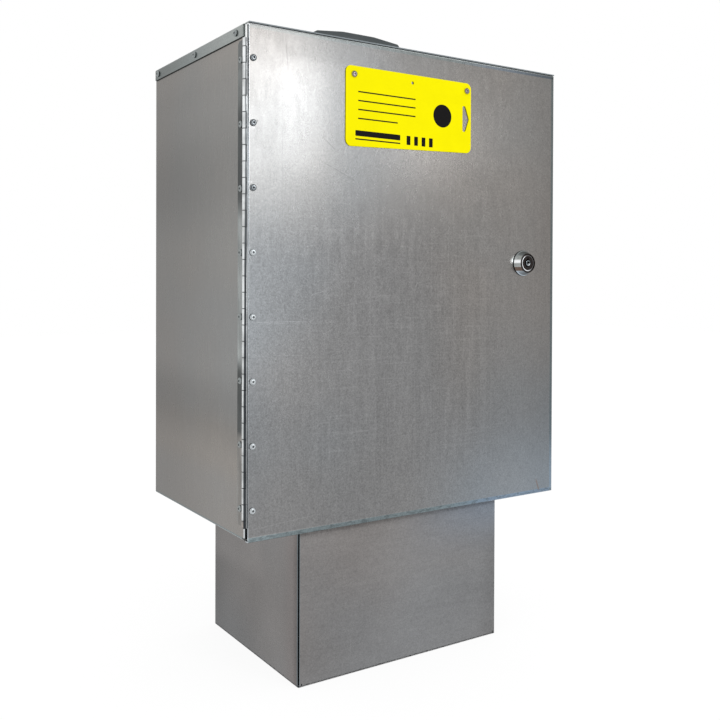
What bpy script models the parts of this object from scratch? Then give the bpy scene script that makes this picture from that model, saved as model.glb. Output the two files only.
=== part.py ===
"""Anti-theft enclosure: a lockable galvanised sheet-steel cabinet standing on a folded plinth.

The origin lies on the ground below the middle of the whole object and +Z is up. The door faces -Y and
hangs on the left (-X) on a piano hinge. Lengths are metres.
"""

import math

import bmesh
import bpy
from mathutils import Matrix, Vector

MM = 0.001

# ---- Sheet and fits ------------------------------------------------------------------------------
SHEET = 1.5 * MM  # gauge of every galvanised panel
FIT = 0.3 * MM  # gap kept between pieces that touch
FOLD_INSIDE = 0.6 * MM  # inside radius of the folds of body and door
CAP_FOLD_INSIDE = 0.5 * MM  # inside radius of the folds of the roof cap
PLINTH_FOLD_INSIDE = 1.0 * MM  # inside radius of the folds of the plinth
RELIEF = 1.5 * MM  # width of a bend relief, and how far it clears the fold
MERGE = 0.001 * MM  # corners of neighbouring panels closer than this are one
FOLD_STEPS = 4  # facets round a quarter turn
THROUGH = 4 * SHEET  # depth of a cut that passes through one sheet
SMOOTH_UP_TO = math.radians(35)  # steeper edges are shaded sharp
AXIS_MARK = 20.0 * MM  # size at which a joint's empty is drawn

# ---- Cabinet -------------------------------------------------------------------------------------
BODY_WIDTH = 485.0 * MM
BODY_DEPTH = 300.0 * MM  # from the door's face to the back of the roof cap
BODY_HEIGHT = 600.0 * MM  # from the underside of the floor to the top of the roof
DOOR_SPACE = 7.5 * MM  # from the door's face back to the front of the body
FRONT_RETURN = 20.0 * MM  # width of the folded edge beside the door opening
SILL_HEIGHT = 18.0 * MM
HEADER_HEIGHT = 24.0 * MM
HEADER_DEPTH = 16.0 * MM
BACK_FLANGE = 18.0 * MM

# ---- Roof cap ------------------------------------------------------------------------------------
CAP_FLANGE = 15.0 * MM  # height of the folded-down sides and back
CAP_FLANGE_START = 12.8 * MM  # from the door's face to the front end of a side flange
CAP_RIVET_FRONT = 31.7 * MM  # from the door's face to the front rivet of a side
CAP_RIVET_MIDDLE = 4.6 * MM  # from the middle of the depth back to the middle rivet
CAP_RIVET_REAR = 15.1 * MM  # from the rear to the last rivet
CAP_BACK_RIVETS = 92.5 * MM  # from each side to the outer rivets of the back

# ---- Door and hinge ------------------------------------------------------------------------------
DOOR_TOP_GAP = 0.4 * MM  # under the roof
DOOR_BACK_GAP = 0.5 * MM  # from the door's folded edges to the body
HINGE_FOOT = 17.0 * MM  # from the bottom of the door to the hinge
HINGE_HEAD = 19.0 * MM  # from the hinge to the top of the roof
HINGE_RIVETS = 8
HINGE_RIVET_FOOT = 20.0 * MM  # from the hinge's bottom to the lowest rivet
HINGE_RIVET_HEAD = 22.5 * MM  # from the highest rivet to the hinge's top
KNUCKLE_PITCH = 18.8 * MM
FIRST_KNUCKLE = 9.0 * MM  # the short knuckle left by cutting the hinge to length
KNUCKLE_GAP = 0.3 * MM
LEAF = 1.2 * MM  # gauge of the hinge strip
PIN_DIAMETER = 2.8 * MM
PIN_PLAY = 0.15 * MM  # radial play of the pin
PIN_END = 0.5 * MM  # how far the pin stands out of the last knuckle
ROLL_ANGLE = math.radians(290)
ROLL_STEPS = 9
BODY_LEAF_REACH = 23.7 * MM  # from the door's face to the rear edge of the leaf
DOOR_LEAF_REACH = 15.0 * MM  # from the door's hinged edge to the inner edge of the leaf
LEAF_CORNER = 3.5 * MM  # chamfer on the free corners of a leaf
DOOR_RIVET_INSET = 5.2 * MM  # from the door's hinged edge
BODY_RIVET_SETBACK = 17.5 * MM  # from the door's face

# ---- Rivets --------------------------------------------------------------------------------------
RIVET_HEAD = 8.0 * MM
RIVET_HEIGHT = 2.2 * MM
RIVET_RIM = 0.55 * MM  # height of the head's upright rim
RIVET_SHOULDER = 6.0 * MM  # diameter at which the dome turns down
RIVET_SHOULDER_DROP = 0.55 * MM  # from the head's top to its shoulder
RIVET_SHANK = 4.0 * MM
RIVET_HOLE_PLAY = 0.6 * MM  # on the diameter
RIVET_TAIL = 5.8 * MM
RIVET_TAIL_LENGTH = 2.6 * MM
RIVET_TAIL_TIP = 4.6 * MM
MANDREL_HOLE = 2.2 * MM
MANDREL_HOLE_DEPTH = 0.7 * MM
RIVET_SIDES = 10

# ---- Lock ----------------------------------------------------------------------------------------
LOCK_FROM_EDGE = 59.5 * MM  # from the door's free edge
LOCK_UP = 328.0 * MM  # above the bottom of the door
LOCK_PROUD = 11.7 * MM  # how far the collar stands out of the door
COLLAR_BASE = 35.7 * MM
COLLAR_RIM = 26.5 * MM
COLLAR_EDGE = 1.0 * MM  # thickness of the collar's foot, and width of its rim's bevel
COLLAR_ROUND = 0.5 * MM  # rounding of the collar's edges
BARREL_DIAMETER = 19.0 * MM
BARREL_HEAD = 23.0 * MM  # the wider lock face inside the collar's rim
BARREL_HEAD_THICK = 3.0 * MM
BARREL_SUNK = 1.2 * MM  # from the collar's rim to the lock face
KEYWAY_DIAMETER = 10.8 * MM
KEY_POST = 7.0 * MM
KEY_POST_HOLE = 3.0 * MM
KEY_POST_HOLE_DEPTH = 6.0 * MM
KEY_SLOT = 2.2 * MM  # width of the key's guide slot
KEY_SLOT_DEPTH = 3.0 * MM
ROTOR_DIAMETER = 13.4 * MM
ROTOR_SHOULDER = 1.5 * MM  # from the door's face back to the step inside the barrel
LOCK_NUT_FLATS = 27.0 * MM
LOCK_NUT_THICK = 4.0 * MM
CAM_CLEARANCE = 2.0 * MM  # from the cam to the folded edge that it locks behind
CAM_THICK = 2.5 * MM
CAM_WIDTH = 18.0 * MM
CAM_TIP_WIDTH = 12.6 * MM
CAM_TIP_ROUND = 2.7 * MM
CAM_ENGAGE = 8.0 * MM  # overlap of the turned cam and the folded edge
CAM_SQUARE = 8.0 * MM
CAM_SCREW_HEAD = 13.0 * MM
CAM_SCREW_SHANK = 4.4 * MM
CAM_SCREW_REACH = 7.0 * MM
TURN_STEPS = 32

# ---- Sign plate ----------------------------------------------------------------------------------
PLATE_WIDTH = 200.0 * MM
PLATE_HEIGHT = 100.0 * MM
PLATE_THICK = 1.0 * MM
PLATE_CORNER = 8.0 * MM
PLATE_FROM_HINGE = 130.0 * MM  # from the door's hinged edge to the plate
PLATE_DOWN = 32.5 * MM  # from the top of the roof to the plate
PLATE_RIVET_LEFT = 12.0 * MM
PLATE_RIVET_RIGHT = 9.0 * MM
PLATE_RIVET_DOWN = 10.5 * MM  # from the plate's top edge
PLATE_HOLE = 4.0 * MM
PLATE_SLOT_HEIGHT = 32.0 * MM
PLATE_SLOT_DEPTH = 11.0 * MM
PLATE_SLOT_BELLY = 6.0 * MM  # from the slot's upright side to its belly
PLATE_SLOT_WAIST = 16.0 * MM  # height of the slot at its belly
PLATE_SLOT_MARGIN = 3.0 * MM  # from the slot's point to the plate's edge

# ---- Roof handle ---------------------------------------------------------------------------------
HANDLE_LENGTH = 142.0 * MM
HANDLE_WIDTH = 14.0 * MM
HANDLE_HEIGHT = 53.5 * MM
HANDLE_RISE = 4.3 * MM  # of the sloping shoulders up to the level middle
HANDLE_LEVEL = 52.0 * MM  # length of the level middle
HANDLE_LEG = 22.0 * MM
HANDLE_GRIP = 17.0 * MM  # thickness of the grip at its middle
HANDLE_OUTER_ROUND = 4.5 * MM
HANDLE_INNER_ROUND = 9.0 * MM
HANDLE_EDGE = 2.0 * MM
HANDLE_EDGE_STEPS = 3
HANDLE_SCREW = 6.0 * MM
HANDLE_SCREW_HEAD = 13.0 * MM
HANDLE_SCREW_REACH = 16.0 * MM

# ---- Plinth --------------------------------------------------------------------------------------
PLINTH_WIDTH = 320.0 * MM
PLINTH_DEPTH = 250.0 * MM
PLINTH_HEIGHT = 198.0 * MM
PLINTH_FLANGE = 30.0 * MM
SLIT_WIDTH = 1.8 * MM  # slit along the corner fold at the front left
SLIT_WEB = 4.0 * MM  # metal left between the two halves of the slit
SLIT_WEB_UP = 106.0 * MM
SLIT_END = 1.6 * MM  # metal left at each end of the corner
WEB_PITCH = 27.6 * MM  # webs of the perforated fold along the foot
WEB_COUNT = 12
WEB_WIDTH = 2.4 * MM
FOLD_SLOT_RISE = 0.1 * MM  # how far the slots between the webs reach above the flange
SEAM_GAP = 0.8 * MM  # butt seam in the rear wall
SEAM_TACKS = 4
TACK_HEIGHT = 7.0 * MM
TACK_WIDTH = 5.0 * MM
TACK_PROUD = 0.5 * MM
ANCHOR_HOLE = 11.0 * MM
ANCHOR_SPACING = 220.0 * MM

# ---- Fasteners and cable entry in the floor ------------------------------------------------------
PAN_HEIGHT = 0.32  # height of a pan head, as a share of its diameter
PAN_SOCKET = 0.4  # width of its socket, as a share of its diameter
PAN_FLAT = 0.6  # width of its flat top, as a share of its diameter
BOLT = 8.0 * MM
BOLT_FLATS = 13.0 * MM
BOLT_FLANGE = 17.0 * MM
BOLT_FLANGE_THICK = 1.2 * MM
BOLT_FLANGE_EDGE = 0.6 * MM
BOLT_HEAD_HEIGHT = 5.5 * MM
BOLT_TIP = 2.0 * MM  # how far the bolt stands out of its nut
BOLT_SPACING = 170.0 * MM
BOLT_HOLE_PLAY = 1.0 * MM  # on the diameter
GROMMET_HOLE = 30.0 * MM
GROMMET_LIP = 5.0 * MM
GROMMET_BORE = 20.0 * MM
GROMMET_THICK = 3.0 * MM  # of the lip on each side of the floor
HEX_STEPS = 6
BOLT_STEPS = 12

# ---- Planes that the pieces share ----------------------------------------------------------------
FOLD = SHEET + FOLD_INSIDE  # outside radii of the folds
CAP_FOLD = SHEET + CAP_FOLD_INSIDE
PLINTH_FOLD = SHEET + PLINTH_FOLD_INSIDE
NOTCH = FOLD + RELIEF
CAP_NOTCH = CAP_FOLD + RELIEF
PLINTH_NOTCH = PLINTH_FOLD + RELIEF

LEFT = -BODY_WIDTH / 2
RIGHT = BODY_WIDTH / 2
DOOR_FACE = -(BODY_DEPTH - LOCK_PROUD) / 2
REAR = DOOR_FACE + BODY_DEPTH
MIDDLE_Y = (DOOR_FACE + REAR) / 2  # middle of the depth, where the handle stands
FLOOR = PLINTH_HEIGHT + FIT
TOP = FLOOR + BODY_HEIGHT
BODY_FRONT = DOOR_FACE + DOOR_SPACE
BODY_REAR = REAR - SHEET - FIT
WALL_TOP = TOP - SHEET - FIT
DOOR_TOP = TOP - SHEET - DOOR_TOP_GAP
CAP_LEFT = LEFT - FIT - SHEET
CAP_RIGHT = RIGHT + FIT + SHEET

KNUCKLE_BORE = PIN_DIAMETER / 2 + PIN_PLAY
KNUCKLE = KNUCKLE_BORE + LEAF  # outside radius
HINGE_X = LEFT - FIT - KNUCKLE
HINGE_Y = DOOR_FACE + SHEET + FIT + KNUCKLE
HINGE_BASE = FLOOR + HINGE_FOOT
HINGE_LENGTH = BODY_HEIGHT - HINGE_FOOT - HINGE_HEAD

LOCK = Vector((RIGHT - LOCK_FROM_EDGE, DOOR_FACE, FLOOR + LOCK_UP))
CAM_DEPTH = DOOR_SPACE + SHEET + CAM_CLEARANCE  # from the door's face back to the cam

PLINTH_LEFT = -PLINTH_WIDTH / 2
PLINTH_RIGHT = PLINTH_WIDTH / 2
PLINTH_MIDDLE = (BODY_FRONT + REAR) / 2
PLINTH_FRONT = PLINTH_MIDDLE - PLINTH_DEPTH / 2
PLINTH_REAR = PLINTH_MIDDLE + PLINTH_DEPTH / 2
BOLT_X = PLINTH_WIDTH / 2 - (SHEET + PLINTH_FLANGE) / 2

RIVET_HOLE = RIVET_SHANK + RIVET_HOLE_PLAY
HINGE_GRIP = LEAF + FIT + SHEET
CAP_GRIP = 2 * SHEET + FIT
PLATE_GRIP = PLATE_THICK + FIT + SHEET


# ---- Materials -----------------------------------------------------------------------------------
def material(name, colour, roughness, metallic):
    """One Principled material from a linear colour, a roughness and a metallic value."""
    made = bpy.data.materials.new(name)
    made.use_nodes = True
    shader = made.node_tree.nodes["Principled BSDF"]
    shader.inputs["Base Color"].default_value = (*colour, 1.0)
    shader.inputs["Roughness"].default_value = roughness
    shader.inputs["Metallic"].default_value = metallic
    made.diffuse_color = (*colour, 1.0)
    return made


def galvanised(name):
    return material(name, (0.27, 0.27, 0.265), 0.42, 1.0)


def bright_zinc(name):
    return material(name, (0.55, 0.56, 0.56), 0.28, 1.0)


def chrome(name):
    return material(name, (0.72, 0.73, 0.74), 0.1, 1.0)


def black_steel(name):
    return material(name, (0.02, 0.018, 0.017), 0.45, 0.6)


def slate_plastic(name):
    return material(name, (0.052, 0.065, 0.069), 0.5, 0.0)


def yellow_plastic(name):
    return material(name, (1.0, 0.9, 0.0), 0.45, 0.0)


def black_rubber(name):
    return material(name, (0.012, 0.012, 0.012), 0.7, 0.0)


# ---- Modelling helpers ---------------------------------------------------------------------------
def add_object(name, shape, finish=None):
    """Links a bmesh as an object, shaded smooth up to its hard edges."""
    mesh = bpy.data.meshes.new(name)
    shape.to_mesh(mesh)
    shape.free()
    mesh.shade_smooth()
    mesh.set_sharp_from_angle(angle=SMOOTH_UP_TO)
    if finish:
        mesh.materials.append(finish(name))
    made = bpy.data.objects.new(name, mesh)
    bpy.context.collection.objects.link(made)
    return made


def combine(piece, shape, name, operation):
    """Cuts a hidden tool from a piece, or joins it to the piece."""
    tool = add_object(name, shape)
    tool.hide_render = True
    tool.display_type = "WIRE"
    step = piece.modifiers.new(name, "BOOLEAN")
    step.operation = operation
    step.solver = "EXACT"
    step.object = tool


def flat(axis, level, outline, out):
    """One flat panel across an axis, wound so that its outer side looks along out times the axis."""
    following = outline[1:] + outline[:1]
    turn = sum(a[0] * b[1] - b[0] * a[1] for a, b in zip(outline, following))
    handed = -1 if axis == "y" else 1
    if turn * handed * out < 0:
        outline = outline[::-1]
    if axis == "x":
        return [(level, u, v) for u, v in outline]
    if axis == "y":
        return [(u, level, v) for u, v in outline]
    return [(u, v, level) for u, v in outline]


def folded_sheet(name, panels, fold, finish=galvanised):
    """A sheet part from the outer skins of its flat panels, folded to a radius where two panels meet.

    A shared edge shorter than four fold radii is a welded corner seam, which stays sharp.
    """
    shape = bmesh.new()
    for panel in panels:
        shape.faces.new([shape.verts.new(corner) for corner in panel])
    bmesh.ops.remove_doubles(shape, verts=shape.verts, dist=MERGE)
    shared = [edge for edge in shape.edges if len(edge.link_faces) == 2]
    folds = [edge for edge in shared if edge.calc_length() > 4 * fold]
    bmesh.ops.bevel(
        shape,
        geom=folds,
        offset=fold,
        offset_type="OFFSET",
        segments=FOLD_STEPS,
        profile=0.5,
        affect="EDGES",
        clamp_overlap=False,
    )
    made = add_object(name, shape, finish)
    gauge = made.modifiers.new("gauge", "SOLIDIFY")
    gauge.thickness = SHEET
    gauge.offset = -1
    gauge.use_even_offset = True
    return made


def box(shape, low, high):
    """Adds an upright block to a bmesh."""
    low, high = Vector(low), Vector(high)
    size = high - low
    place = Matrix.Translation((low + high) / 2) @ Matrix.Diagonal((*size, 1))
    bmesh.ops.create_cube(shape, size=1, matrix=place)


def rod(shape, centre, axis, radius, length, sides):
    """Adds a closed cylinder to a bmesh, centred on a point and lying along an axis."""
    turn = Vector(axis).to_track_quat("Z", "Y").to_matrix().to_4x4()
    bmesh.ops.create_cone(
        shape,
        cap_ends=True,
        segments=sides,
        radius1=radius,
        radius2=radius,
        depth=length,
        matrix=Matrix.Translation(centre) @ turn,
    )


def drill(piece, centres, axis, diameter, depth, name, sides=RIVET_SIDES):
    """Drills equal round holes along an axis."""
    shape = bmesh.new()
    for centre in centres:
        rod(shape, centre, axis, diameter / 2, depth, sides)
    combine(piece, shape, name, "DIFFERENCE")


def turned(profile, sides):
    """A solid turned about local Z from (radius, height) points; off-axis ends close on each other."""
    shape = bmesh.new()
    rings = []
    for radius, height in profile:
        if radius == 0:
            rings.append([shape.verts.new((0, 0, height))])
            continue
        angles = [math.tau * step / sides for step in range(sides)]
        ring = [(radius * math.cos(a), radius * math.sin(a), height) for a in angles]
        rings.append([shape.verts.new(point) for point in ring])
    pairs = list(zip(rings, rings[1:]))
    if profile[0][0] and profile[-1][0]:
        pairs.append((rings[-1], rings[0]))
    for lower, upper in pairs:
        for i in range(sides):
            j = (i + 1) % sides
            below = [lower[i % len(lower)], lower[j % len(lower)]]
            above = [upper[j % len(upper)], upper[i % len(upper)]]
            shape.faces.new(dict.fromkeys(below + above))
    bmesh.ops.recalc_face_normals(shape, faces=shape.faces)
    return shape


def extruded(outline, start, end):
    """A closed prism of an outline in the local XY plane between two heights."""
    shape = bmesh.new()
    low = [shape.verts.new((x, y, start)) for x, y in outline]
    high = [shape.verts.new((x, y, end)) for x, y in outline]
    shape.faces.new(low)
    shape.faces.new(high)
    for i, corner in enumerate(low):
        j = (i + 1) % len(low)
        shape.faces.new((corner, low[j], high[j], high[i]))
    bmesh.ops.recalc_face_normals(shape, faces=shape.faces)
    return shape


def arc(centre, radius, start, sweep, steps):
    """Points along an arc; angles are radians."""
    angles = [start + sweep * step / steps for step in range(steps + 1)]
    return [(centre[0] + radius * math.cos(a), centre[1] + radius * math.sin(a)) for a in angles]


def polygon(flats, sides=HEX_STEPS):
    """A regular outline with a given distance across its flats."""
    radius = flats / 2 / math.cos(math.pi / sides)
    return arc((0, 0), radius, 0, math.tau * (sides - 1) / sides, sides - 1)


def place(piece, point, facing):
    """Sets a piece down at a point with its local Z looking along a direction and local Y kept up."""
    piece.location = point
    facing = Vector(facing)
    keep_up = facing.to_track_quat("Z", "Y")
    piece.rotation_euler = keep_up.to_euler()


def hang(piece, pivot):
    """Parents a piece to a pivot and leaves it where it stands."""
    bpy.context.view_layer.update()
    piece.parent = pivot
    piece.matrix_parent_inverse = pivot.matrix_world.inverted()


def pivot(name, point, carrier=None):
    """An empty on a joint's axis."""
    made = bpy.data.objects.new(name, None)
    made.empty_display_size = AXIS_MARK
    made.location = point
    bpy.context.collection.objects.link(made)
    if carrier:
        hang(made, carrier)
    return made


# ---- Places of the rivets and bolts --------------------------------------------------------------
def hinge_heights():
    first = HINGE_BASE + HINGE_RIVET_FOOT
    pitch = (HINGE_LENGTH - HINGE_RIVET_FOOT - HINGE_RIVET_HEAD) / (HINGE_RIVETS - 1)
    return [first + pitch * step for step in range(HINGE_RIVETS)]


def door_rivets():
    return [Vector((LEFT + DOOR_RIVET_INSET, DOOR_FACE, z)) for z in hinge_heights()]


def leaf_rivets():
    outside = LEFT - FIT - LEAF
    return [Vector((outside, DOOR_FACE + BODY_RIVET_SETBACK, z)) for z in hinge_heights()]


def cap_side_rivets(side):
    middle = MIDDLE_Y + CAP_RIVET_MIDDLE
    places = (DOOR_FACE + CAP_RIVET_FRONT, middle, REAR - CAP_RIVET_REAR)
    return [Vector((side, y, TOP - CAP_FLANGE / 2)) for y in places]


def cap_back_rivets():
    across = RIGHT - CAP_BACK_RIVETS
    return [Vector((x, REAR, TOP - CAP_FLANGE / 2)) for x in (-across, 0, across)]


def plate_left():
    return LEFT + PLATE_FROM_HINGE


def plate_rivets():
    z = TOP - PLATE_DOWN - PLATE_RIVET_DOWN
    face = DOOR_FACE - FIT - PLATE_THICK
    left = plate_left() + PLATE_RIVET_LEFT
    right = plate_left() + PLATE_WIDTH - PLATE_RIVET_RIGHT
    return [Vector((left, face, z)), Vector((right, face, z))]


def handle_screws():
    across = HANDLE_LENGTH / 2 - HANDLE_LEG / 2
    return [Vector((x, MIDDLE_Y, TOP)) for x in (-across, across)]


def base_bolts():
    half = BOLT_SPACING / 2
    return [
        Vector((x, PLINTH_MIDDLE + y, FLOOR))
        for x in (-BOLT_X, BOLT_X)
        for y in (-half, half)
    ]


# ---- Cabinet -------------------------------------------------------------------------------------
def wrap_panels():
    """Both sides and the floor in one sheet, with folded edges beside the door and a sill below it."""
    sill = RIGHT - FRONT_RETURN - RELIEF
    side = [
        (BODY_FRONT + NOTCH, FLOOR),
        (BODY_REAR, FLOOR),
        (BODY_REAR, WALL_TOP),
        (BODY_FRONT, WALL_TOP),
        (BODY_FRONT, FLOOR + NOTCH),
        (BODY_FRONT + NOTCH, FLOOR + NOTCH),
    ]
    floor = [
        (LEFT, BODY_FRONT + NOTCH),
        (-sill, BODY_FRONT + NOTCH),
        (-sill, BODY_FRONT),
        (sill, BODY_FRONT),
        (sill, BODY_FRONT + NOTCH),
        (RIGHT, BODY_FRONT + NOTCH),
        (RIGHT, BODY_REAR),
        (LEFT, BODY_REAR),
    ]
    panels = [flat("x", LEFT, side, -1), flat("x", RIGHT, side, 1), flat("z", FLOOR, floor, -1)]
    for edge, inner in ((LEFT, LEFT + FRONT_RETURN), (RIGHT, RIGHT - FRONT_RETURN)):
        strip = [(edge, FLOOR + NOTCH), (inner, FLOOR + NOTCH), (inner, WALL_TOP), (edge, WALL_TOP)]
        panels.append(flat("y", BODY_FRONT, strip, -1))
    top = FLOOR + SILL_HEIGHT
    lip = [(-sill, FLOOR), (sill, FLOOR), (sill, top), (-sill, top)]
    panels.append(flat("y", BODY_FRONT, lip, -1))
    return panels


def build_wrap():
    wrap = folded_sheet("cabinet_wrap", wrap_panels(), FOLD)
    drill(wrap, leaf_rivets(), (1, 0, 0), RIVET_HOLE, 4 * HINGE_GRIP, "wrap_hinge_holes")
    for side, tag in ((LEFT, "left"), (RIGHT, "right")):
        drill(wrap, cap_side_rivets(side), (1, 0, 0), RIVET_HOLE, THROUGH, f"wrap_cap_holes_{tag}")
    drill(wrap, base_bolts(), (0, 0, 1), BOLT + BOLT_HOLE_PLAY, THROUGH, "wrap_bolt_holes", BOLT_STEPS)
    entry = [Vector((0, PLINTH_MIDDLE, FLOOR))]
    drill(wrap, entry, (0, 0, 1), GROMMET_HOLE, THROUGH, "wrap_cable_hole", TURN_STEPS)


def build_back():
    """A shallow pan that closes the rear; its side flanges end below the rivets of the roof cap."""
    left, right = LEFT + SHEET + FIT, RIGHT - SHEET - FIT
    low, high = FLOOR + SHEET + FIT, WALL_TOP
    front = BODY_REAR - BACK_FLANGE
    foot, head = low + NOTCH, TOP - CAP_FLANGE
    face = [
        (left + NOTCH, low),
        (right - NOTCH, low),
        (right - NOTCH, foot),
        (right, foot),
        (right, head),
        (right - NOTCH, head),
        (right - NOTCH, high),
        (left + NOTCH, high),
        (left + NOTCH, head),
        (left, head),
        (left, foot),
        (left + NOTCH, foot),
    ]
    panels = [flat("y", BODY_REAR, face, 1)]
    for x, out in ((left, -1), (right, 1)):
        strip = [(BODY_REAR, foot), (front, foot), (front, head), (BODY_REAR, head)]
        panels.append(flat("x", x, strip, out))
    start, stop = left + NOTCH, right - NOTCH
    for z, out in ((low, -1), (high, 1)):
        strip = [(start, BODY_REAR), (stop, BODY_REAR), (stop, front), (start, front)]
        panels.append(flat("z", z, strip, out))
    back = folded_sheet("back_panel", panels, CAP_FOLD)
    drill(back, cap_back_rivets(), (0, 1, 0), RIVET_HOLE, 4 * CAP_GRIP, "back_holes")


def build_header():
    """The angle that stiffens the front edge of the opening under the roof."""
    end = RIGHT - FOLD - FIT
    front = BODY_FRONT + SHEET + FIT
    low = WALL_TOP - HEADER_HEIGHT
    upright = [(-end, low), (end, low), (end, WALL_TOP), (-end, WALL_TOP)]
    rear = front + HEADER_DEPTH
    ledge = [(-end, front), (end, front), (end, rear), (-end, rear)]
    panels = [flat("y", front, upright, -1), flat("z", WALL_TOP, ledge, 1)]
    folded_sheet("front_header", panels, CAP_FOLD)


def roof_panels():
    """The cap: flat over the door, with sides and back folded down outside the body."""
    start = DOOR_FACE + CAP_FLANGE_START
    stop = REAR - CAP_NOTCH
    right_half = [
        (RIGHT, DOOR_FACE),
        (RIGHT, start - RELIEF),
        (CAP_RIGHT - CAP_NOTCH, start - RELIEF),
        (CAP_RIGHT - CAP_NOTCH, start),
        (CAP_RIGHT, start),
        (CAP_RIGHT, stop),
        (CAP_RIGHT - CAP_NOTCH, stop),
        (CAP_RIGHT - CAP_NOTCH, REAR),
    ]
    left_half = [(-x, y) for x, y in reversed(right_half)]
    low = TOP - CAP_FLANGE
    side = [(start, low), (stop, low), (stop, TOP), (start, TOP)]
    across = CAP_RIGHT - CAP_NOTCH
    rear = [(-across, low), (across, low), (across, TOP), (-across, TOP)]
    return [
        flat("z", TOP, right_half + left_half, 1),
        flat("x", CAP_LEFT, side, -1),
        flat("x", CAP_RIGHT, side, 1),
        flat("y", REAR, rear, 1),
    ]


def build_roof():
    roof = folded_sheet("roof_panel", roof_panels(), CAP_FOLD)
    for side, tag in ((CAP_LEFT, "left"), (CAP_RIGHT, "right")):
        drill(roof, cap_side_rivets(side), (1, 0, 0), RIVET_HOLE, THROUGH, f"roof_holes_{tag}")
    drill(roof, cap_back_rivets(), (0, 1, 0), RIVET_HOLE, THROUGH, "roof_holes_back")
    screw_hole = HANDLE_SCREW + 2 * FIT
    drill(roof, handle_screws(), (0, 0, 1), screw_hole, THROUGH, "roof_screw_holes", BOLT_STEPS)


# ---- Door ----------------------------------------------------------------------------------------
def build_door():
    """The door: a plain edge at the hinge and three folded edges with closed, mitred corners."""
    depth = DOOR_SPACE - DOOR_BACK_GAP
    behind = DOOR_FACE + depth
    face = [(LEFT, FLOOR), (RIGHT, FLOOR), (RIGHT, DOOR_TOP), (LEFT, DOOR_TOP)]
    upright = [(DOOR_FACE, FLOOR), (behind, FLOOR), (behind, DOOR_TOP), (DOOR_FACE, DOOR_TOP)]
    ledge = [(LEFT, DOOR_FACE), (RIGHT, DOOR_FACE), (RIGHT, behind), (LEFT, behind)]
    panels = [
        flat("y", DOOR_FACE, face, -1),
        flat("x", RIGHT, upright, 1),
        flat("z", FLOOR, ledge, -1),
        flat("z", DOOR_TOP, ledge, 1),
    ]
    door = folded_sheet("door_panel", panels, FOLD)
    drill(door, door_rivets(), (0, 1, 0), RIVET_HOLE, THROUGH, "door_hinge_holes")
    drill(door, plate_rivets(), (0, 1, 0), RIVET_HOLE, 4 * PLATE_GRIP, "door_plate_holes")
    drill(door, [LOCK], (0, 1, 0), BARREL_DIAMETER + 2 * FIT, THROUGH, "door_lock_hole", TURN_STEPS)
    return door


def slot_outline(tip, middle):
    """The hanging slot: upright at its left, pointed at its right."""
    left = tip - PLATE_SLOT_DEPTH
    belly = left + PLATE_SLOT_BELLY
    half = PLATE_SLOT_HEIGHT / 2
    waist = PLATE_SLOT_WAIST / 2
    return [
        (left, middle - half),
        (belly, middle - waist),
        (tip, middle),
        (belly, middle + waist),
        (left, middle + half),
    ]


def build_plate():
    """The sign plate with its rivet holes, its wire hole and its hanging slot."""
    half = Vector((PLATE_WIDTH / 2 - PLATE_CORNER, PLATE_HEIGHT / 2 - PLATE_CORNER))
    outline = []
    for quarter, (sx, sy) in enumerate(((1, 1), (-1, 1), (-1, -1), (1, -1))):
        centre = (sx * half.x, sy * half.y)
        outline += arc(centre, PLATE_CORNER, quarter * math.pi / 2, math.pi / 2, FOLD_STEPS)
    plate = add_object("sign_plate", extruded(outline, 0, PLATE_THICK), yellow_plastic)
    height = TOP - PLATE_DOWN - PLATE_HEIGHT / 2
    place(plate, (plate_left() + PLATE_WIDTH / 2, DOOR_FACE - FIT, height), (0, -1, 0))
    deep = 4 * PLATE_GRIP
    drill(plate, plate_rivets(), (0, 1, 0), RIVET_HOLE, deep, "plate_rivet_holes")
    rivets = plate_rivets()
    between = [(rivets[0] + rivets[1]) / 2]
    drill(plate, between, (0, 1, 0), PLATE_HOLE, deep, "plate_wire_hole")
    tip = plate_left() + PLATE_WIDTH - PLATE_SLOT_MARGIN
    cutter = extruded(slot_outline(tip, height), 0, deep)
    upright = Matrix.Rotation(math.pi / 2, 4, "X")
    stand = Matrix.Translation((0, DOOR_FACE + deep / 2, 0)) @ upright
    bmesh.ops.transform(cutter, matrix=stand, verts=cutter.verts)
    combine(plate, cutter, "plate_slot", "DIFFERENCE")
    return plate


# ---- Piano hinge ---------------------------------------------------------------------------------
def leaf_outline(reach):
    """A leaf along +X rolled into a knuckle about the origin, as one strip of even gauge."""
    start = -math.pi / 2
    outer = arc((0, 0), KNUCKLE, start, -ROLL_ANGLE, ROLL_STEPS)
    inner = arc((0, 0), KNUCKLE_BORE, start, -ROLL_ANGLE, ROLL_STEPS)
    return [(reach, -KNUCKLE)] + outer + inner[::-1] + [(reach, -KNUCKLE_BORE)]


def knuckle_edges():
    """Heights along the hinge at which one leaf's knuckle ends and the other's begins."""
    edges = [0.0, FIRST_KNUCKLE]
    while edges[-1] + KNUCKLE_PITCH < HINGE_LENGTH:
        edges.append(edges[-1] + KNUCKLE_PITCH)
    return edges + [HINGE_LENGTH]


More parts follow.
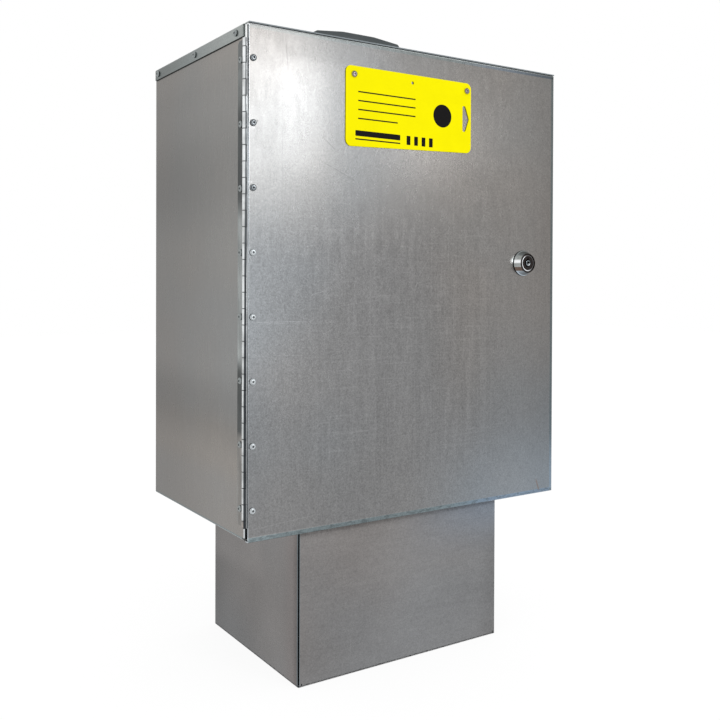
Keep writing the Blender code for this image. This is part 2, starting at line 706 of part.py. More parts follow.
def leaf_cutters(reach, first):
    """Slots for the other leaf's knuckles, from the first or second one on, and the corner chamfers."""
    edges = knuckle_edges()
    shape = bmesh.new()
    root = KNUCKLE + FIT
    for low, high in list(zip(edges, edges[1:]))[first::2]:
        under = low - KNUCKLE_GAP / 2
        over = high + KNUCKLE_GAP / 2
        box(shape, (-2 * KNUCKLE, -2 * KNUCKLE, under), (root, 2 * KNUCKLE, over))
    side = LEAF_CORNER * math.sqrt(2)
    tilt = Matrix.Rotation(math.pi / 4, 4, "Y")
    size = Matrix.Diagonal((side, 4 * KNUCKLE, side, 1))
    for z in (0, HINGE_LENGTH):
        spot = Matrix.Translation((reach, 0, z))
        bmesh.ops.create_cube(shape, size=1, matrix=spot @ tilt @ size)
    return shape


def build_leaf(name, reach, first, turn):
    """One leaf, standing on the hinge axis and turned about it."""
    leaf = add_object(name, extruded(leaf_outline(reach), 0, HINGE_LENGTH), bright_zinc)
    stand = Matrix.Translation((HINGE_X, HINGE_Y, HINGE_BASE)) @ Matrix.Rotation(turn, 4, "Z")
    leaf.matrix_world = stand
    slots = leaf_cutters(reach, first)
    bmesh.ops.transform(slots, matrix=stand, verts=slots.verts)
    combine(leaf, slots, f"{name}_slots", "DIFFERENCE")
    return leaf


def build_hinge():
    """Two leaves with interleaved knuckles, and the pin through them."""
    body_reach = DOOR_FACE + BODY_LEAF_REACH - HINGE_Y
    body_leaf = build_leaf("hinge_body_leaf", body_reach, 1, math.pi / 2)
    drill(body_leaf, leaf_rivets(), (1, 0, 0), RIVET_HOLE, 4 * HINGE_GRIP, "body_leaf_holes")
    door_reach = LEFT + DOOR_LEAF_REACH - HINGE_X
    door_leaf = build_leaf("hinge_door_leaf", door_reach, 0, 0)
    drill(door_leaf, door_rivets(), (0, 1, 0), RIVET_HOLE, 4 * HINGE_GRIP, "door_leaf_holes")
    build_pin()
    return door_leaf


def build_pin():
    """The hinge pin, which stays with the body's leaf."""
    radius = PIN_DIAMETER / 2
    low, high = -PIN_END, HINGE_LENGTH + PIN_END
    tip = radius - PIN_END
    profile = [
        (0, low),
        (tip, low),
        (radius, low + PIN_END),
        (radius, high - PIN_END),
        (tip, high),
        (0, high),
    ]
    pin = add_object("hinge_pin", turned(profile, RIVET_SIDES), bright_zinc)
    place(pin, (HINGE_X, HINGE_Y, HINGE_BASE), (0, 0, 1))


# ---- Rivets --------------------------------------------------------------------------------------
def rivet_mesh(grip):
    """A blind rivet about local Z: its head stands on height 0 and its tail closes below the grip."""
    radius = RIVET_HEAD / 2
    hole = MANDREL_HOLE / 2
    shank = RIVET_SHANK / 2
    top = FIT + RIVET_HEIGHT
    dish = top - MANDREL_HOLE_DEPTH
    under = -grip - FIT
    end = under - RIVET_TAIL_LENGTH
    profile = [
        (0, dish),
        (hole, dish),
        (hole, top),
        (RIVET_SHOULDER / 2, top - RIVET_SHOULDER_DROP),
        (radius, FIT + RIVET_RIM),
        (radius, FIT),
        (shank, FIT),
        (shank, under),
        (RIVET_TAIL / 2, under),
        (RIVET_TAIL_TIP / 2, end),
        (0, end),
    ]
    return turned(profile, RIVET_SIDES)


def build_rivets(name, points, facing, grip):
    """A row of rivets that share one mesh, numbered from 1."""
    first = add_object(f"{name}_1", rivet_mesh(grip), bright_zinc)
    row = [first]
    for number in range(2, len(points) + 1):
        twin = bpy.data.objects.new(f"{name}_{number}", first.data)
        bpy.context.collection.objects.link(twin)
        row.append(twin)
    for piece, point in zip(row, points):
        place(piece, point, facing)
    return row


# ---- Lock ----------------------------------------------------------------------------------------
def build_collar():
    """The chromed cone that shields the lock barrel."""
    bore = BARREL_DIAMETER / 2 + FIT
    well = BARREL_HEAD / 2 + FIT
    step = LOCK_PROUD - BARREL_SUNK - BARREL_HEAD_THICK - FIT
    base = COLLAR_BASE / 2
    rim = COLLAR_RIM / 2
    edge = COLLAR_EDGE
    soft = COLLAR_ROUND
    profile = [
        (bore, FIT),
        (base - soft, FIT),
        (base, FIT + soft),
        (base, FIT + edge),
        (base - edge, FIT + 2 * edge),
        (rim + soft, LOCK_PROUD - edge),
        (rim, LOCK_PROUD - soft),
        (rim - soft, LOCK_PROUD),
        (well + soft, LOCK_PROUD),
        (well, LOCK_PROUD - soft),
        (well, step),
        (bore, step),
    ]
    collar = add_object("lock_collar", turned(profile, TURN_STEPS), chrome)
    place(collar, LOCK, (0, -1, 0))
    return collar


def build_barrel():
    """The lock housing with its wider head, its round keyway and the slot that guides the key."""
    outer = BARREL_DIAMETER / 2
    head = BARREL_HEAD / 2
    keyway = KEYWAY_DIAMETER / 2
    rotor = ROTOR_DIAMETER / 2 + FIT
    face = LOCK_PROUD - BARREL_SUNK
    end = FIT - CAM_DEPTH
    profile = [
        (keyway, face),
        (keyway, -ROTOR_SHOULDER),
        (rotor, -ROTOR_SHOULDER),
        (rotor, end),
        (outer, end),
        (outer, face - BARREL_HEAD_THICK),
        (head, face - BARREL_HEAD_THICK),
        (head, face - COLLAR_ROUND),
        (head - COLLAR_ROUND, face),
    ]
    barrel = add_object("lock_barrel", turned(profile, TURN_STEPS), black_steel)
    place(barrel, LOCK, (0, -1, 0))
    slot = bmesh.new()
    half = KEY_SLOT / 2
    front = LOCK.y - face
    low = (LOCK.x - half, front - KEY_SLOT_DEPTH, LOCK.z)
    high = (LOCK.x + half, front + KEY_SLOT_DEPTH, LOCK.z + keyway + KEY_SLOT)
    box(slot, low, high)
    combine(barrel, slot, "key_slot", "DIFFERENCE")
    return barrel


def build_plug():
    """The turning core: the key post in front, the rotor inside the barrel and the cam's square."""
    post = KEY_POST / 2
    hole = KEY_POST_HOLE / 2
    rotor = ROTOR_DIAMETER / 2
    face = LOCK_PROUD - FIT
    step = -ROTOR_SHOULDER - FIT
    end = FIT - CAM_DEPTH
    profile = [
        (0, face - KEY_POST_HOLE_DEPTH),
        (hole, face - KEY_POST_HOLE_DEPTH),
        (hole, face - FIT),
        (hole + FIT, face),
        (post - FIT, face),
        (post, face - FIT),
        (post, step),
        (rotor, step),
        (rotor, end),
        (0, end),
    ]
    plug = add_object("lock_plug", turned(profile, TURN_STEPS), chrome)
    place(plug, LOCK, (0, -1, 0))
    square = bmesh.new()
    half = CAM_SQUARE / 2
    front = LOCK.y + CAM_DEPTH - 2 * FIT
    back = LOCK.y + CAM_DEPTH + CAM_THICK
    box(square, (LOCK.x - half, front, LOCK.z - half), (LOCK.x + half, back, LOCK.z + half))
    combine(plug, square, "cam_square", "UNION")
    end_of_square = LOCK.copy()
    end_of_square.y = back
    bore = CAM_SCREW_SHANK + 2 * FIT
    drill(plug, [end_of_square], (0, 1, 0), bore, 2 * (CAM_SCREW_REACH + FIT), "screw_bore")
    return plug


def build_lock_nut():
    """The nut that clamps the barrel to the door."""
    nut = add_object("lock_nut", extruded(polygon(LOCK_NUT_FLATS), 0, LOCK_NUT_THICK), bright_zinc)
    seat = LOCK.copy()
    seat.y += SHEET + FIT + LOCK_NUT_THICK
    place(nut, seat, (0, -1, 0))
    bore = BARREL_DIAMETER + 2 * FIT
    drill(nut, [seat], (0, 1, 0), bore, 4 * LOCK_NUT_THICK, "lock_nut_bore", TURN_STEPS)
    return nut


def build_cam():
    """The cam, upright while the door is free, and the screw that holds it."""
    edge_of_return = RIGHT - FRONT_RETURN
    reach = edge_of_return + CAM_ENGAGE - LOCK.x
    quarter = math.pi / 2
    corner = Vector((CAM_TIP_WIDTH / 2 - CAM_TIP_ROUND, reach - CAM_TIP_ROUND))
    outline = arc((0, 0), CAM_WIDTH / 2, math.pi, math.pi, 2 * FOLD_STEPS)
    outline += arc((corner.x, corner.y), CAM_TIP_ROUND, 0, quarter, FOLD_STEPS)
    outline += arc((-corner.x, corner.y), CAM_TIP_ROUND, quarter, quarter, FOLD_STEPS)
    cam = add_object("lock_cam", extruded(outline, 0, CAM_THICK), bright_zinc)
    back = LOCK.copy()
    back.y += CAM_DEPTH + CAM_THICK
    place(cam, back, (0, -1, 0))
    hole = bmesh.new()
    side = CAM_SQUARE / 2 + FIT
    low = (LOCK.x - side, LOCK.y, LOCK.z - side)
    high = (LOCK.x + side, back.y + CAM_THICK, LOCK.z + side)
    box(hole, low, high)
    combine(cam, hole, "cam_hole", "DIFFERENCE")
    screw = build_screw("cam_screw", CAM_SCREW_HEAD, CAM_SCREW_SHANK, CAM_SCREW_REACH, bright_zinc)
    place(screw, back, (0, 1, 0))
    return [cam, screw]


def build_lock():
    """The lock: what stays with the door, and what turns with the key."""
    fixed = [build_collar(), build_barrel(), build_lock_nut()]
    turning = [build_plug(), *build_cam()]
    return fixed, turning


# ---- Screws, bolts and nuts ----------------------------------------------------------------------
def build_screw(name, head, shank, reach, finish):
    """A pan-head screw about local Z: its head stands on height 0 and its shank goes down."""
    radius = head / 2
    top = FIT + head * PAN_HEIGHT
    middle = (FIT + top) / 2
    socket = radius * PAN_SOCKET
    profile = [
        (0, middle),
        (socket, middle),
        (socket, top),
        (radius * PAN_FLAT, top),
        (radius, middle),
        (radius, FIT),
        (shank / 2, FIT),
        (shank / 2, -reach + shank / 4),
        (shank / 4, -reach),
        (0, -reach),
    ]
    return add_object(name, turned(profile, BOLT_STEPS), finish)


def build_base_bolts():
    """Flanged bolts and nuts that clamp the cabinet's floor to the plinth's flanges."""
    reach = 2 * SHEET + FIT + FIT + BOLT_HEAD_HEIGHT + BOLT_TIP
    shank = [(0, -reach), (BOLT / 2 - FIT, -reach), (BOLT / 2, -reach + FIT), (BOLT / 2, FIT)]
    edge = FIT + BOLT_FLANGE_EDGE
    step = FIT + BOLT_FLANGE_THICK
    flange = [(BOLT_FLANGE / 2, FIT), (BOLT_FLANGE / 2, edge), (BOLT_FLATS / 2, step), (0, step)]
    bore = BOLT + 2 * FIT
    for number, point in enumerate(base_bolts(), 1):
        seat = point + Vector((0, 0, SHEET))
        bolt = add_object(f"base_bolt_{number}", turned(shank + flange, BOLT_STEPS), bright_zinc)
        place(bolt, seat, (0, 0, 1))
        head = extruded(polygon(BOLT_FLATS), edge, FIT + BOLT_HEAD_HEIGHT)
        bmesh.ops.translate(head, verts=head.verts, vec=seat)
        combine(bolt, head, f"bolt_head_{number}", "UNION")
        below = point - Vector((0, 0, FIT + SHEET + FIT))
        hexagon = extruded(polygon(BOLT_FLATS), -BOLT_HEAD_HEIGHT, 0)
        nut = add_object(f"base_nut_{number}", hexagon, bright_zinc)
        place(nut, below, (0, 0, 1))
        drill(nut, [below], (0, 0, 1), bore, 4 * BOLT_HEAD_HEIGHT, f"nut_bore_{number}", BOLT_STEPS)


def build_grommet():
    """The rubber ring through which cables enter the floor."""
    groove = GROMMET_HOLE / 2 - FIT
    lip = GROMMET_HOLE / 2 + GROMMET_LIP
    bore = GROMMET_BORE / 2
    over = SHEET + FIT
    round_off = GROMMET_THICK / 2
    profile = [
        (bore, -FIT - GROMMET_THICK),
        (lip - round_off, -FIT - GROMMET_THICK),
        (lip, -FIT - round_off),
        (lip, -FIT),
        (groove, -FIT),
        (groove, over),
        (lip, over),
        (lip, over + round_off),
        (lip - round_off, over + GROMMET_THICK),
        (bore, over + GROMMET_THICK),
    ]
    grommet = add_object("cable_grommet", turned(profile, 2 * BOLT_STEPS), black_rubber)
    place(grommet, (0, PLINTH_MIDDLE, FLOOR), (0, 0, 1))


# ---- Roof handle ---------------------------------------------------------------------------------
def handle_outline():
    """The bridge handle seen from the front: two legs under a grip that is level in its middle."""
    half = HANDLE_LENGTH / 2
    inner = half - HANDLE_LEG
    ceiling = HANDLE_HEIGHT - HANDLE_GRIP
    outer_x = half - HANDLE_OUTER_ROUND
    outer_z = HANDLE_HEIGHT - HANDLE_RISE - HANDLE_OUTER_ROUND
    lean = math.atan2(HANDLE_RISE, outer_x - HANDLE_LEVEL / 2)
    right = [(half, 0)]
    right += arc((outer_x, outer_z), HANDLE_OUTER_ROUND, 0, math.pi / 2 - lean, FOLD_STEPS)
    right += [(HANDLE_LEVEL / 2, HANDLE_HEIGHT)]
    left = [(-x, z) for x, z in reversed(right)]
    gap_x = inner - HANDLE_INNER_ROUND
    gap_z = ceiling - HANDLE_INNER_ROUND
    gap = [(-inner, 0)]
    gap += arc((-gap_x, gap_z), HANDLE_INNER_ROUND, math.pi, -math.pi / 2, FOLD_STEPS)
    gap += arc((gap_x, gap_z), HANDLE_INNER_ROUND, math.pi / 2, -math.pi / 2, FOLD_STEPS)
    gap += [(inner, 0)]
    return right + left + gap


def build_handle():
    """The moulded grip on the roof and the two screws that come up into its legs."""
    half = HANDLE_WIDTH / 2
    handle = add_object("roof_handle", extruded(handle_outline(), -half, half), slate_plastic)
    handle.location = (0, MIDDLE_Y, TOP + FIT)
    handle.rotation_euler = (math.pi / 2, 0, 0)
    edge = handle.modifiers.new("edge", "BEVEL")
    edge.width = HANDLE_EDGE
    edge.segments = HANDLE_EDGE_STEPS
    edge.limit_method = "ANGLE"
    edge.angle_limit = math.radians(60)
    bores = [point + Vector((0, 0, FIT)) for point in handle_screws()]
    bore = HANDLE_SCREW + 2 * FIT
    drill(handle, bores, (0, 0, 1), bore, 2 * (HANDLE_SCREW_REACH + FIT), "handle_bores", BOLT_STEPS)
    for number, point in enumerate(handle_screws(), 1):
        reach = SHEET + FIT + HANDLE_SCREW_REACH
        screw = build_screw(f"handle_screw_{number}", HANDLE_SCREW_HEAD, HANDLE_SCREW, reach, bright_zinc)
        place(screw, point - Vector((0, 0, SHEET)), (0, 0, -1))


# ---- Plinth --------------------------------------------------------------------------------------
def plinth_side(out):
    """A side wall and the flange on top of it, with relief slots at the ends of the fold."""
    x = out * PLINTH_WIDTH / 2
    start = PLINTH_FRONT + PLINTH_NOTCH
    stop = PLINTH_REAR - PLINTH_NOTCH
    low = PLINTH_HEIGHT - PLINTH_NOTCH
    wall = [
        (PLINTH_FRONT, 0),
        (PLINTH_REAR, 0),
        (PLINTH_REAR, PLINTH_HEIGHT),
        (stop, PLINTH_HEIGHT),
        (stop, low),
        (stop - RELIEF, low),
        (stop - RELIEF, PLINTH_HEIGHT),
        (start + RELIEF, PLINTH_HEIGHT),
        (start + RELIEF, low),
        (start, low),
        (start, PLINTH_HEIGHT),
        (PLINTH_FRONT, PLINTH_HEIGHT),
    ]
    inner = x - out * PLINTH_FLANGE
    first, last = start + RELIEF, stop - RELIEF
    flange = [(x, first), (x, last), (inner, last), (inner, first)]
    return [flat("x", x, wall, out), flat("z", PLINTH_HEIGHT, flange, 1)]


def plinth_end(y, out, left, right):
    """A front or rear wall between two edges, with its foot flange; relief slots end the fold."""
    start = left + PLINTH_NOTCH
    stop = right - PLINTH_NOTCH
    wall = [
        (left, 0),
        (start, 0),
        (start, PLINTH_NOTCH),
        (start + RELIEF, PLINTH_NOTCH),
        (start + RELIEF, 0),
        (stop - RELIEF, 0),
        (stop - RELIEF, PLINTH_NOTCH),
        (stop, PLINTH_NOTCH),
        (stop, 0),
        (right, 0),
        (right, PLINTH_HEIGHT),
        (left, PLINTH_HEIGHT),
    ]
    inner = y - out * PLINTH_FLANGE
    first, last = start + RELIEF, stop - RELIEF
    flange = [(first, y), (last, y), (last, inner), (first, inner)]
    return [flat("y", y, wall, out), flat("z", 0, flange, -1)]


def corner_slit():
    """The slit along the front left corner fold, with metal left at both ends and near the middle."""
    shape = bmesh.new()
    quarter = Matrix.Rotation(math.pi / 4, 4, "Z")
    halves = (
        (SLIT_END, SLIT_WEB_UP - SLIT_WEB / 2),
        (SLIT_WEB_UP + SLIT_WEB / 2, PLINTH_HEIGHT - SLIT_END),
    )
    for low, high in halves:
        size = Matrix.Diagonal((4 * PLINTH_FOLD, SLIT_WIDTH, high - low, 1))
        spot = Matrix.Translation((PLINTH_LEFT, PLINTH_FRONT, (low + high) / 2))
        bmesh.ops.create_cube(shape, size=1, matrix=spot @ quarter @ size)
    return shape


def foot_slots():
    """Slots of the perforated fold along the foot of the front wall; webs are left between them."""
    shape = bmesh.new()
    first = -WEB_PITCH * (WEB_COUNT - 1) / 2
    webs = [first + WEB_PITCH * step for step in range(WEB_COUNT)]
    end = PLINTH_RIGHT - PLINTH_NOTCH - WEB_WIDTH / 2
    edges = [-end] + webs + [end]
    over = SHEET + FOLD_SLOT_RISE
    for left, right in zip(edges, edges[1:]):
        if right - left > 2 * WEB_WIDTH:
            low = (left + WEB_WIDTH / 2, PLINTH_FRONT - SHEET, -SHEET)
            high = (right - WEB_WIDTH / 2, PLINTH_FRONT + PLINTH_FOLD, over)
            box(shape, low, high)
    return shape


def seam_tacks():
    """Short weld beads across the butt seam in the rear wall."""
    shape = bmesh.new()
    spacing = PLINTH_HEIGHT / SEAM_TACKS
    for step in range(SEAM_TACKS):
        z = spacing * (step + 0.5)
        low = (-TACK_WIDTH / 2, PLINTH_REAR - SHEET - TACK_PROUD, z - TACK_HEIGHT / 2)
        high = (TACK_WIDTH / 2, PLINTH_REAR + TACK_PROUD, z + TACK_HEIGHT / 2)
        box(shape, low, high)
    return shape


def build_plinth():
    """The plinth: four walls folded from one sheet, seamed at the rear."""
    panels = plinth_side(-1) + plinth_side(1)
    panels += plinth_end(PLINTH_FRONT, -1, PLINTH_LEFT, PLINTH_RIGHT)
    panels += plinth_end(PLINTH_REAR, 1, PLINTH_LEFT, -SEAM_GAP / 2)
    panels += plinth_end(PLINTH_REAR, 1, SEAM_GAP / 2, PLINTH_RIGHT)
    plinth = folded_sheet("plinth_wrap", panels, PLINTH_FOLD)
    combine(plinth, seam_tacks(), "seam_tacks", "UNION")
    combine(plinth, corner_slit(), "corner_slit", "DIFFERENCE")
    combine(plinth, foot_slots(), "foot_slots", "DIFFERENCE")
    bolts = [point - Vector((0, 0, FIT)) for point in base_bolts()]
    drill(plinth, bolts, (0, 0, 1), BOLT + BOLT_HOLE_PLAY, THROUGH, "plinth_bolt_holes", BOLT_STEPS)
    middle = (SHEET + PLINTH_FLANGE) / 2
    anchors = [
        Vector((x, y, 0))
        for x in (-ANCHOR_SPACING / 2, ANCHOR_SPACING / 2)
        for y in (PLINTH_FRONT + middle, PLINTH_REAR - middle)
    ]
    drill(plinth, anchors, (0, 0, 1), ANCHOR_HOLE, THROUGH, "anchor_holes", BOLT_STEPS)


# ---- Assembly ------------------------------------------------------------------------------------
def clear_scene():
    for old in list(bpy.data.objects):
        bpy.data.objects.remove(old, do_unlink=True)


def main():
    clear_scene()
    build_plinth()
    build_base_bolts()
    build_grommet()
    build_wrap()
    build_back()
    build_header()
    build_roof()
    build_handle()
    build_rivets("hinge_body_rivet", leaf_rivets(), (-1, 0, 0), HINGE_GRIP)
    build_rivets("roof_rivet_left", cap_side_rivets(CAP_LEFT), (-1, 0, 0), CAP_GRIP)
    build_rivets("roof_rivet_right", cap_side_rivets(CAP_RIGHT), (1, 0, 0), CAP_GRIP)
    build_rivets("roof_rivet_back", cap_back_rivets(), (0, 1, 0), CAP_GRIP)

    swinging = [build_door(), build_hinge(), build_plate()]
    swinging += build_rivets("hinge_door_rivet", door_rivets(), (0, -1, 0), HINGE_GRIP)
    swinging += build_rivets("plate_rivet", plate_rivets(), (0, -1, 0), PLATE_GRIP)
    fixed, turning = build_lock()
    hinge_axis = pivot("hinge_axis", (HINGE_X, HINGE_Y, HINGE_BASE))
    for piece in swinging + fixed:
        hang(piece, hinge_axis)
    lock_axis = pivot("lock_axis", LOCK, hinge_axis)
    for piece in turning:
        hang(piece, lock_axis)
    bpy.context.view_layer.update()


main()
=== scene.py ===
"""Looks of the anti-theft enclosure: surfaces, finer fittings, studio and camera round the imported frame."""

import math
import random
from functools import cached_property

import bmesh
import bpy
from mathutils import Matrix, Vector


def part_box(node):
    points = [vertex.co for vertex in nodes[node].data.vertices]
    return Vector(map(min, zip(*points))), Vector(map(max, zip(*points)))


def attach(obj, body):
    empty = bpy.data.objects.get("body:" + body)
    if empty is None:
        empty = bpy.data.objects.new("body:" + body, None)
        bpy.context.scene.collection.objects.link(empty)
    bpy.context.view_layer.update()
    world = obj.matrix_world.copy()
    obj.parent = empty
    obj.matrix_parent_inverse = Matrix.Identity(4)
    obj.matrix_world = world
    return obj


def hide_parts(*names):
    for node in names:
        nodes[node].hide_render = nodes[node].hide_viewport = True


MM = 0.001
FLAT = Matrix.Identity(4)
UPRIGHT = Matrix.Rotation(math.pi / 2, 4, "X")  # local Y points up and local Z out of the door

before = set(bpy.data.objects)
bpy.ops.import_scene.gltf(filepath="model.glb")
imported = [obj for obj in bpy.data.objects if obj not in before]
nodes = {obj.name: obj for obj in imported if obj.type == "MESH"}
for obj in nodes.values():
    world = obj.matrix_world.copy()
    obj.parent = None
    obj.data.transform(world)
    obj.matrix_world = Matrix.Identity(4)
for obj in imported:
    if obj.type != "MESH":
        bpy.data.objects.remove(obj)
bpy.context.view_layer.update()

door_low, door_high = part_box("door_panel")
wrap_low, wrap_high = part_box("cabinet_wrap")
roof_low, roof_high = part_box("roof_panel")
plinth_low, plinth_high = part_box("plinth_wrap")
plate_low, plate_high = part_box("sign_plate")
pin_low, pin_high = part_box("hinge_pin")
collar_low, collar_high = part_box("lock_collar")
AXIS = ((pin_low + pin_high) / 2).to_2d()
PIN_RADIUS = (pin_high.x - pin_low.x) / 2
KNUCKLE_PITCH = 18.8 * MM
LOCK = Vector(((collar_low.x + collar_high.x) / 2, door_low.y, (collar_low.z + collar_high.z) / 2))


# ---- Node helpers ----
class Wire:
    """What a node gives. Sums, products and powers of wires and numbers make math nodes."""

    def __init__(self, graph, socket):
        self.graph = graph
        self.socket = socket

    def __add__(self, other):
        return self.graph.math("ADD", self, other)

    def __sub__(self, other):
        return self.graph.math("SUBTRACT", self, other)

    def __rsub__(self, other):
        return self.graph.math("SUBTRACT", other, self)

    def __mul__(self, other):
        return self.graph.math("MULTIPLY", self, other)

    def __truediv__(self, other):
        return self.graph.math("DIVIDE", self, other)

    def __pow__(self, other):
        return self.graph.math("POWER", self, other)

    def __abs__(self):
        return self.graph.math("ABSOLUTE", self)

    def span(self, low, high, start=0.0, end=1.0):
        """Goes smoothly from start to end as the wire goes from low to high."""
        limits = {"Value": self, "From Min": low, "From Max": high, "To Min": start, "To Max": end}
        return self.graph.node("MapRange", limits, interpolation_type="SMOOTHSTEP")

    def spread(self, start=0.0, end=1.0):
        """Stretches what a noise mostly gives, 0.3 to 0.7, to start and end."""
        return self.span(0.3, 0.7, start, end)


class Graph:
    """A node tree and short ways to add nodes to it. A value is a number, a tuple or a wire."""

    def __init__(self, tree):
        self.tree = tree

    def feed(self, socket, value):
        """Gives an input its value or joins it to a wire."""
        if isinstance(value, Wire):
            self.tree.links.new(value.socket, socket)
        else:
            socket.default_value = value

    def node(self, kind, inputs, output=0, **settings):
        """A new node with its settings and inputs. Returns one of its outputs."""
        made = self.tree.nodes.new("ShaderNode" + kind)
        for key, value in settings.items():
            setattr(made, key, value)
        for key, value in inputs.items():
            self.feed(made.inputs[key], value)
        return Wire(self, made.outputs[output])

    @cached_property
    def place(self):
        """The object's own coordinates in metres."""
        return self.node("TexCoord", {}, "Object")

    def math(self, operation, first, second=0.0):
        return self.node("Math", {0: first, 1: second}, operation=operation)

    def most(self, first, second):
        return self.math("MAXIMUM", first, second)

    def hypot(self, u, v):
        """The distance from the origin of the plane of u and v."""
        return self.math("SQRT", u * u + v * v)

    def stretch(self, scale, turn=(0, 0, 0), shift=(0, 0, 0)):
        """The place, scaled, turned and shifted."""
        inputs = {"Vector": self.place, "Location": shift, "Rotation": turn, "Scale": scale}
        return self.node("Mapping", inputs)

    def axes(self, origin):
        """The place's three coordinates in millimetres from an origin."""
        place = self.stretch((1 / MM,) * 3, shift=Vector(origin) / -MM)
        return [self.node("SeparateXYZ", {0: place}, letter) for letter in "XYZ"]

    def noise(self, place, scale=1.0, detail=2.0, rough=0.5):
        inputs = {"Vector": place, "Scale": scale, "Detail": detail, "Roughness": rough}
        return self.node("TexNoise", inputs, "Fac")

    def cells(self, place, scale):
        """Distance to the middle of a random cell, and the cell's random number."""
        inputs = {"Vector": place, "Scale": scale}
        chance = self.node("SeparateXYZ", {0: self.node("TexVoronoi", inputs, "Color")})
        return self.node("TexVoronoi", inputs, "Distance"), chance

    def mix(self, share, a, b, blend="MIX"):
        """Goes from colour a to colour b as the share goes from 0 to 1."""
        a, b = [(*colour, 1.0) if isinstance(colour, tuple) else colour for colour in (a, b)]
        colours = {6: a, 7: b}  # the node's own places for colours
        return self.node("Mix", {"Factor": share, **colours}, 2, data_type="RGBA", blend_type=blend)

    def times(self, colour, factor):
        """A colour made lighter or darker by a factor."""
        return self.node("VectorMath", {0: colour, "Scale": factor}, operation="SCALE")

    def segment(self, u, v, start, end, half):
        """1 on a thin line between two points of the plane of u and v, and 0 away from it."""
        du, dv = end[0] - start[0], end[1] - start[1]
        length = math.hypot(du, dv)
        tu, tv = du / length, dv / length
        u0, v0 = u - start[0], v - start[1]
        near = abs(u0 * tv - v0 * tu).span(half, 0.3 * half)
        middle = abs(u0 * tu + v0 * tv - length / 2)
        return near * middle.span(0.5 * length, 0.2 * length)


class Look(Graph):
    """A material, and the colour, light, roughness and relief of its surface so far."""

    def __init__(self, name, **constants):
        self.material = bpy.data.materials.new(name)
        self.material.use_nodes = True
        super().__init__(self.material.node_tree)
        self.set(**constants)

    def set(self, **values):
        """Feeds the shader's inputs. A _ in a key stands for a space."""
        shader = self.tree.nodes["Principled BSDF"]
        for key, value in values.items():
            self.feed(shader.inputs[key.replace("_", " ")], value)

    def tint(self, share, colour, blend="MIX"):
        """Mixes another colour into the surface's colour."""
        self.colour = self.mix(share, self.colour, colour, blend)

    def surface(self, rough, height=None, strength=0.0, distance=0.3 * MM):
        """Joins colour, roughness and relief to the shader, and returns the material."""
        self.set(Base_Color=self.colour, Roughness=rough)
        if height:
            relief = {"Height": height, "Strength": strength, "Distance": distance}
            self.set(Normal=self.node("Bump", relief))
        return self.material


# ---- Materials of the sheets ----
def sheet(name, tint, rolled="z", coarse=1.0, marks=None, metallic=1.0):
    """Galvanised sheet: rolling streaks along one axis, soft mottling, fine grain and small scratches."""
    look = Look(name, Metallic=metallic)

    def drawn(across, along):
        return look.stretch([along if letter == rolled else across for letter in "xyz"])

    streak = look.noise(drawn(520.0, 14.0), 1.0, 3.0)
    mottle = look.noise(drawn(110.0, 40.0), 1.0, 4.0, 0.6)
    cloud = look.noise(look.place, 5.0, 3.0)
    grain = look.noise(look.place, 620.0, 2.0, 0.6)
    fleck = look.noise(look.place, 300.0, 2.0, 0.5)
    look.light = (streak - 0.5) * 0.16 + (mottle - 0.5) * 0.20 + (cloud - 0.5) * 0.16
    look.light += (grain - 0.5) * (0.80 * coarse) + (fleck - 0.5) * (0.26 * coarse) + 1.0
    for number, angle in enumerate((0.5, -0.35, 1.25)):
        turn = (0, angle, 0) if rolled == "z" else (0, 0, angle)
        nick = look.noise(look.stretch((700.0, 700.0, 16.0), turn, (3.1 * number, 0, 0)), 1.0, 1.0)
        look.light += nick.span(0.71, 0.80, 0.0, 0.07)
    warm = tuple(c * k for c, k in zip(tint, (1.035, 1.0, 0.975)))
    cool = tuple(c * k for c, k in zip(tint, (0.965, 1.0, 1.025)))
    look.colour = look.mix(look.noise(look.place, 3.0, 2.0).span(0.35, 0.65), warm, cool)
    look.rough = (mottle - 0.5) * 0.12 + 0.26
    look.height = mottle * 0.15 + grain * 0.4
    if marks:
        marks(look)
    look.colour = look.times(look.colour, look.light)
    return look.surface(look.rough, look.height, 0.07, 0.6 * MM)


def door_folds(look, x, z, width, tall):
    """Painted reflections on the folded edges: bluish bands at top and bottom and a darker band on the right,
    and a painted highlight along the crease above the lower one.
    """
    right_band = x.span(width - 6.2, width - 5.4)
    low_band = z.span(6.2, 5.4)
    high_band = z.span(tall - 5.6, tall - 4.8) * x.span(0, width - 50, 0.35, 1.05)
    # painted reflection: bluish bands on the top and bottom folds
    blue = look.mix(x.span(280, 380), (0.168, 0.205, 0.212), (0.172, 0.215, 0.265))
    look.tint(look.most(low_band, high_band) * 0.85, blue)
    # painted light on the left of the lower fold
    look.light += low_band * x.span(60, 15, 0.0, 0.28)
    # painted reflection on the right fold, lighter towards the bottom
    deep = look.mix(z.span(90, 40), (0.125, 0.152, 0.162), (0.20, 0.235, 0.265))
    look.tint(right_band * 0.9, deep)
    # painted highlight along the crease above the lower fold
    crease = z.span(5.2, 5.6) * z.span(6.9, 6.5)
    look.light += crease * x.span(0, 300, 0.22, 0.05)


